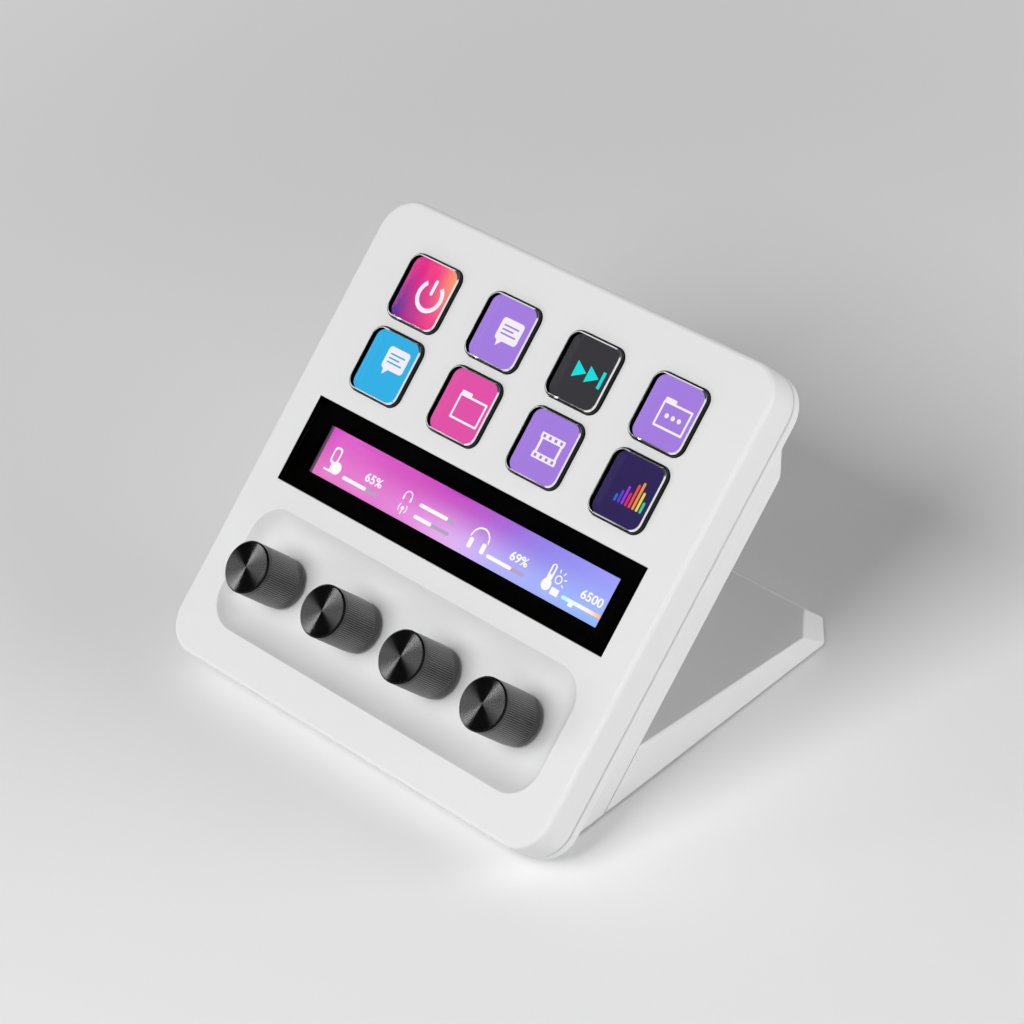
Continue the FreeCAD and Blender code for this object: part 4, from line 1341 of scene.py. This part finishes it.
def seen_walls(nodes, links, direction, look):
    """Pale walls, dark above and darker at the left, where the caps of the dials look."""
    split = nodes.new("ShaderNodeSeparateXYZ")
    links.new(direction, split.inputs["Vector"])
    leftward = along_way(nodes, links, direction, LEFT_WAY)
    height = worked(nodes, links, "MULTIPLY_ADD", leftward, CEILING_LEAN, split.outputs["Z"])
    above = stepped(nodes, links, height, *CEILING_EDGE)
    left = worked(nodes, links, "MULTIPLY", stepped(nodes, links, split.outputs["Z"], *LEFT_BAND_FOOT),
                  stepped(nodes, links, leftward, *LEFT_BAND_START))
    dark = worked(nodes, links, "MAXIMUM", above, left)
    return worked(nodes, links, "MULTIPLY_ADD", dark, look.ceiling - look.backdrop, look.backdrop)


def panel_shape(nodes, links, direction):
    """One at the soft panel's sharp edge, which the dials' caps mirror to the camera, fading beside it."""
    turn = Matrix.Rotation(TILT, 3, "X")
    to_camera = (CAMERA_AT - Vector((0, DIAL_V, DIAL_TOP_W))).normalized()
    mirrored = Vector((-to_camera.x, -to_camera.y, to_camera.z))
    lengthwise = Vector((math.cos(PANEL_TURN), math.sin(PANEL_TURN), 0))
    lengthwise = (lengthwise - mirrored * lengthwise.dot(mirrored)).normalized()
    beside = along_way(nodes, links, direction, turn @ mirrored.cross(lengthwise))
    lengthways = along_way(nodes, links, direction, turn @ lengthwise)
    off_mirror = along_way(nodes, links, direction, turn @ mirrored)
    near_edge = stepped(nodes, links, beside, PANEL_WIDTH, 0.0, smoothly=False)
    shape = worked(nodes, links, "POWER", near_edge, PANEL_FADE)
    for source, start, full in ((beside, 0.0, PANEL_EDGE), (lengthways, 0.0, PANEL_END),
                                (off_mirror, *PANEL_NEAR), (off_mirror, *PANEL_FAR)):
        shape = worked(nodes, links, "MULTIPLY", shape, stepped(nodes, links, source, start, full))
    return shape


def surround_world(scene, look):
    """Even light, a long soft panel at the left, and the walls that the eye, metal and glass see."""
    world = bpy.data.worlds.new("Surround")
    scene.world = world
    world.use_nodes = True
    nodes, links = world.node_tree.nodes, world.node_tree.links
    direction = nodes.new("ShaderNodeTexCoord").outputs["Generated"]
    room = by_ray(nodes, links, look.sky, seen_walls(nodes, links, direction, look))
    panel = by_ray(nodes, links, look.panel * PANEL_MATTE_SHARE, look.panel)
    whole = worked(nodes, links, "MULTIPLY_ADD", panel_shape(nodes, links, direction), panel, room)
    nodes["Background"].inputs["Color"].default_value = (1, 1, 1, 1)
    links.new(whole, nodes["Background"].inputs["Strength"])


class KEYPAD_OT_stage(bpy.types.Operator):
    """Lay the pale floor and set the camera, the soft lamps and the even surround"""
    bl_idname = "keypad.stage"
    bl_label = "Stage"

    def execute(self, context):
        look = context.scene.keypad_stage
        camera = add_camera()
        deselect()
        bpy.ops.mesh.primitive_plane_add(size=FLOOR_SIDE, location=(0, 0, 0))
        floor = context.object
        floor.name = "floor"
        dress(floor, floor_material(look))
        surround_world(context.scene, look)
        front_lamp = soft_lamp("front_lamp", FRONT_LAMP_AT, look.light)
        right_lamp = soft_lamp("right_lamp", RIGHT_LAMP_AT, look.light * RIGHT_LAMP_SHARE)
        context.scene.view_settings.view_transform = "Standard"
        return {"FINISHED"}


class KEYPAD_PT_panel(bpy.types.Panel):
    """Lists the keypad's settings and steps"""
    bl_idname = "KEYPAD_PT_panel"
    bl_label = "Desk keypad"
    bl_space_type = "VIEW_3D"
    bl_region_type = "UI"
    bl_category = "Keypad"

    def draw(self, context):
        for group, operators in STEPS:
            box = self.layout.box()
            settings = getattr(context.scene, group)
            for name in settings.bl_rna.properties.keys():
                if name not in ("rna_type", "name"):
                    box.prop(settings, name)
            for operator in operators:
                box.operator(operator)


STEPS = (
    ("keypad_case", ("keypad.case", "keypad.inner")),
    ("keypad_keys", ("keypad.keys",)),
    ("keypad_display", ("keypad.pictures", "keypad.strip")),
    ("keypad_dials", ("keypad.dials",)),
    ("keypad_stage", ("keypad.stage",)),
)
GROUPS = (("keypad_case", KeypadCase), ("keypad_keys", KeypadKeys), ("keypad_display", KeypadDisplay),
          ("keypad_dials", KeypadDials), ("keypad_stage", KeypadStage))
OPERATORS = (KEYPAD_OT_case, KEYPAD_OT_keys, KEYPAD_OT_pictures, KEYPAD_OT_strip, KEYPAD_OT_dials,
             KEYPAD_OT_inner, KEYPAD_OT_stage)


def register():
    for name, group in GROUPS:
        bpy.utils.register_class(group)
        setattr(bpy.types.Scene, name, bpy.props.PointerProperty(type=group))
    for operator in OPERATORS:
        bpy.utils.register_class(operator)
    bpy.utils.register_class(KEYPAD_PT_panel)


def unregister():
    bpy.utils.unregister_class(KEYPAD_PT_panel)
    for operator in reversed(OPERATORS):
        bpy.utils.unregister_class(operator)
    for name, group in reversed(GROUPS):
        delattr(bpy.types.Scene, name)
        bpy.utils.unregister_class(group)


def main():
    register()
    bpy.ops.keypad.case()
    bpy.ops.keypad.keys()
    bpy.ops.keypad.pictures()
    bpy.ops.keypad.strip()
    bpy.ops.keypad.dials()
    bpy.ops.keypad.inner()
    bpy.ops.keypad.stage()
    deselect()
    bpy.context.view_layer.update()


if __name__ == "__main__":
    main()
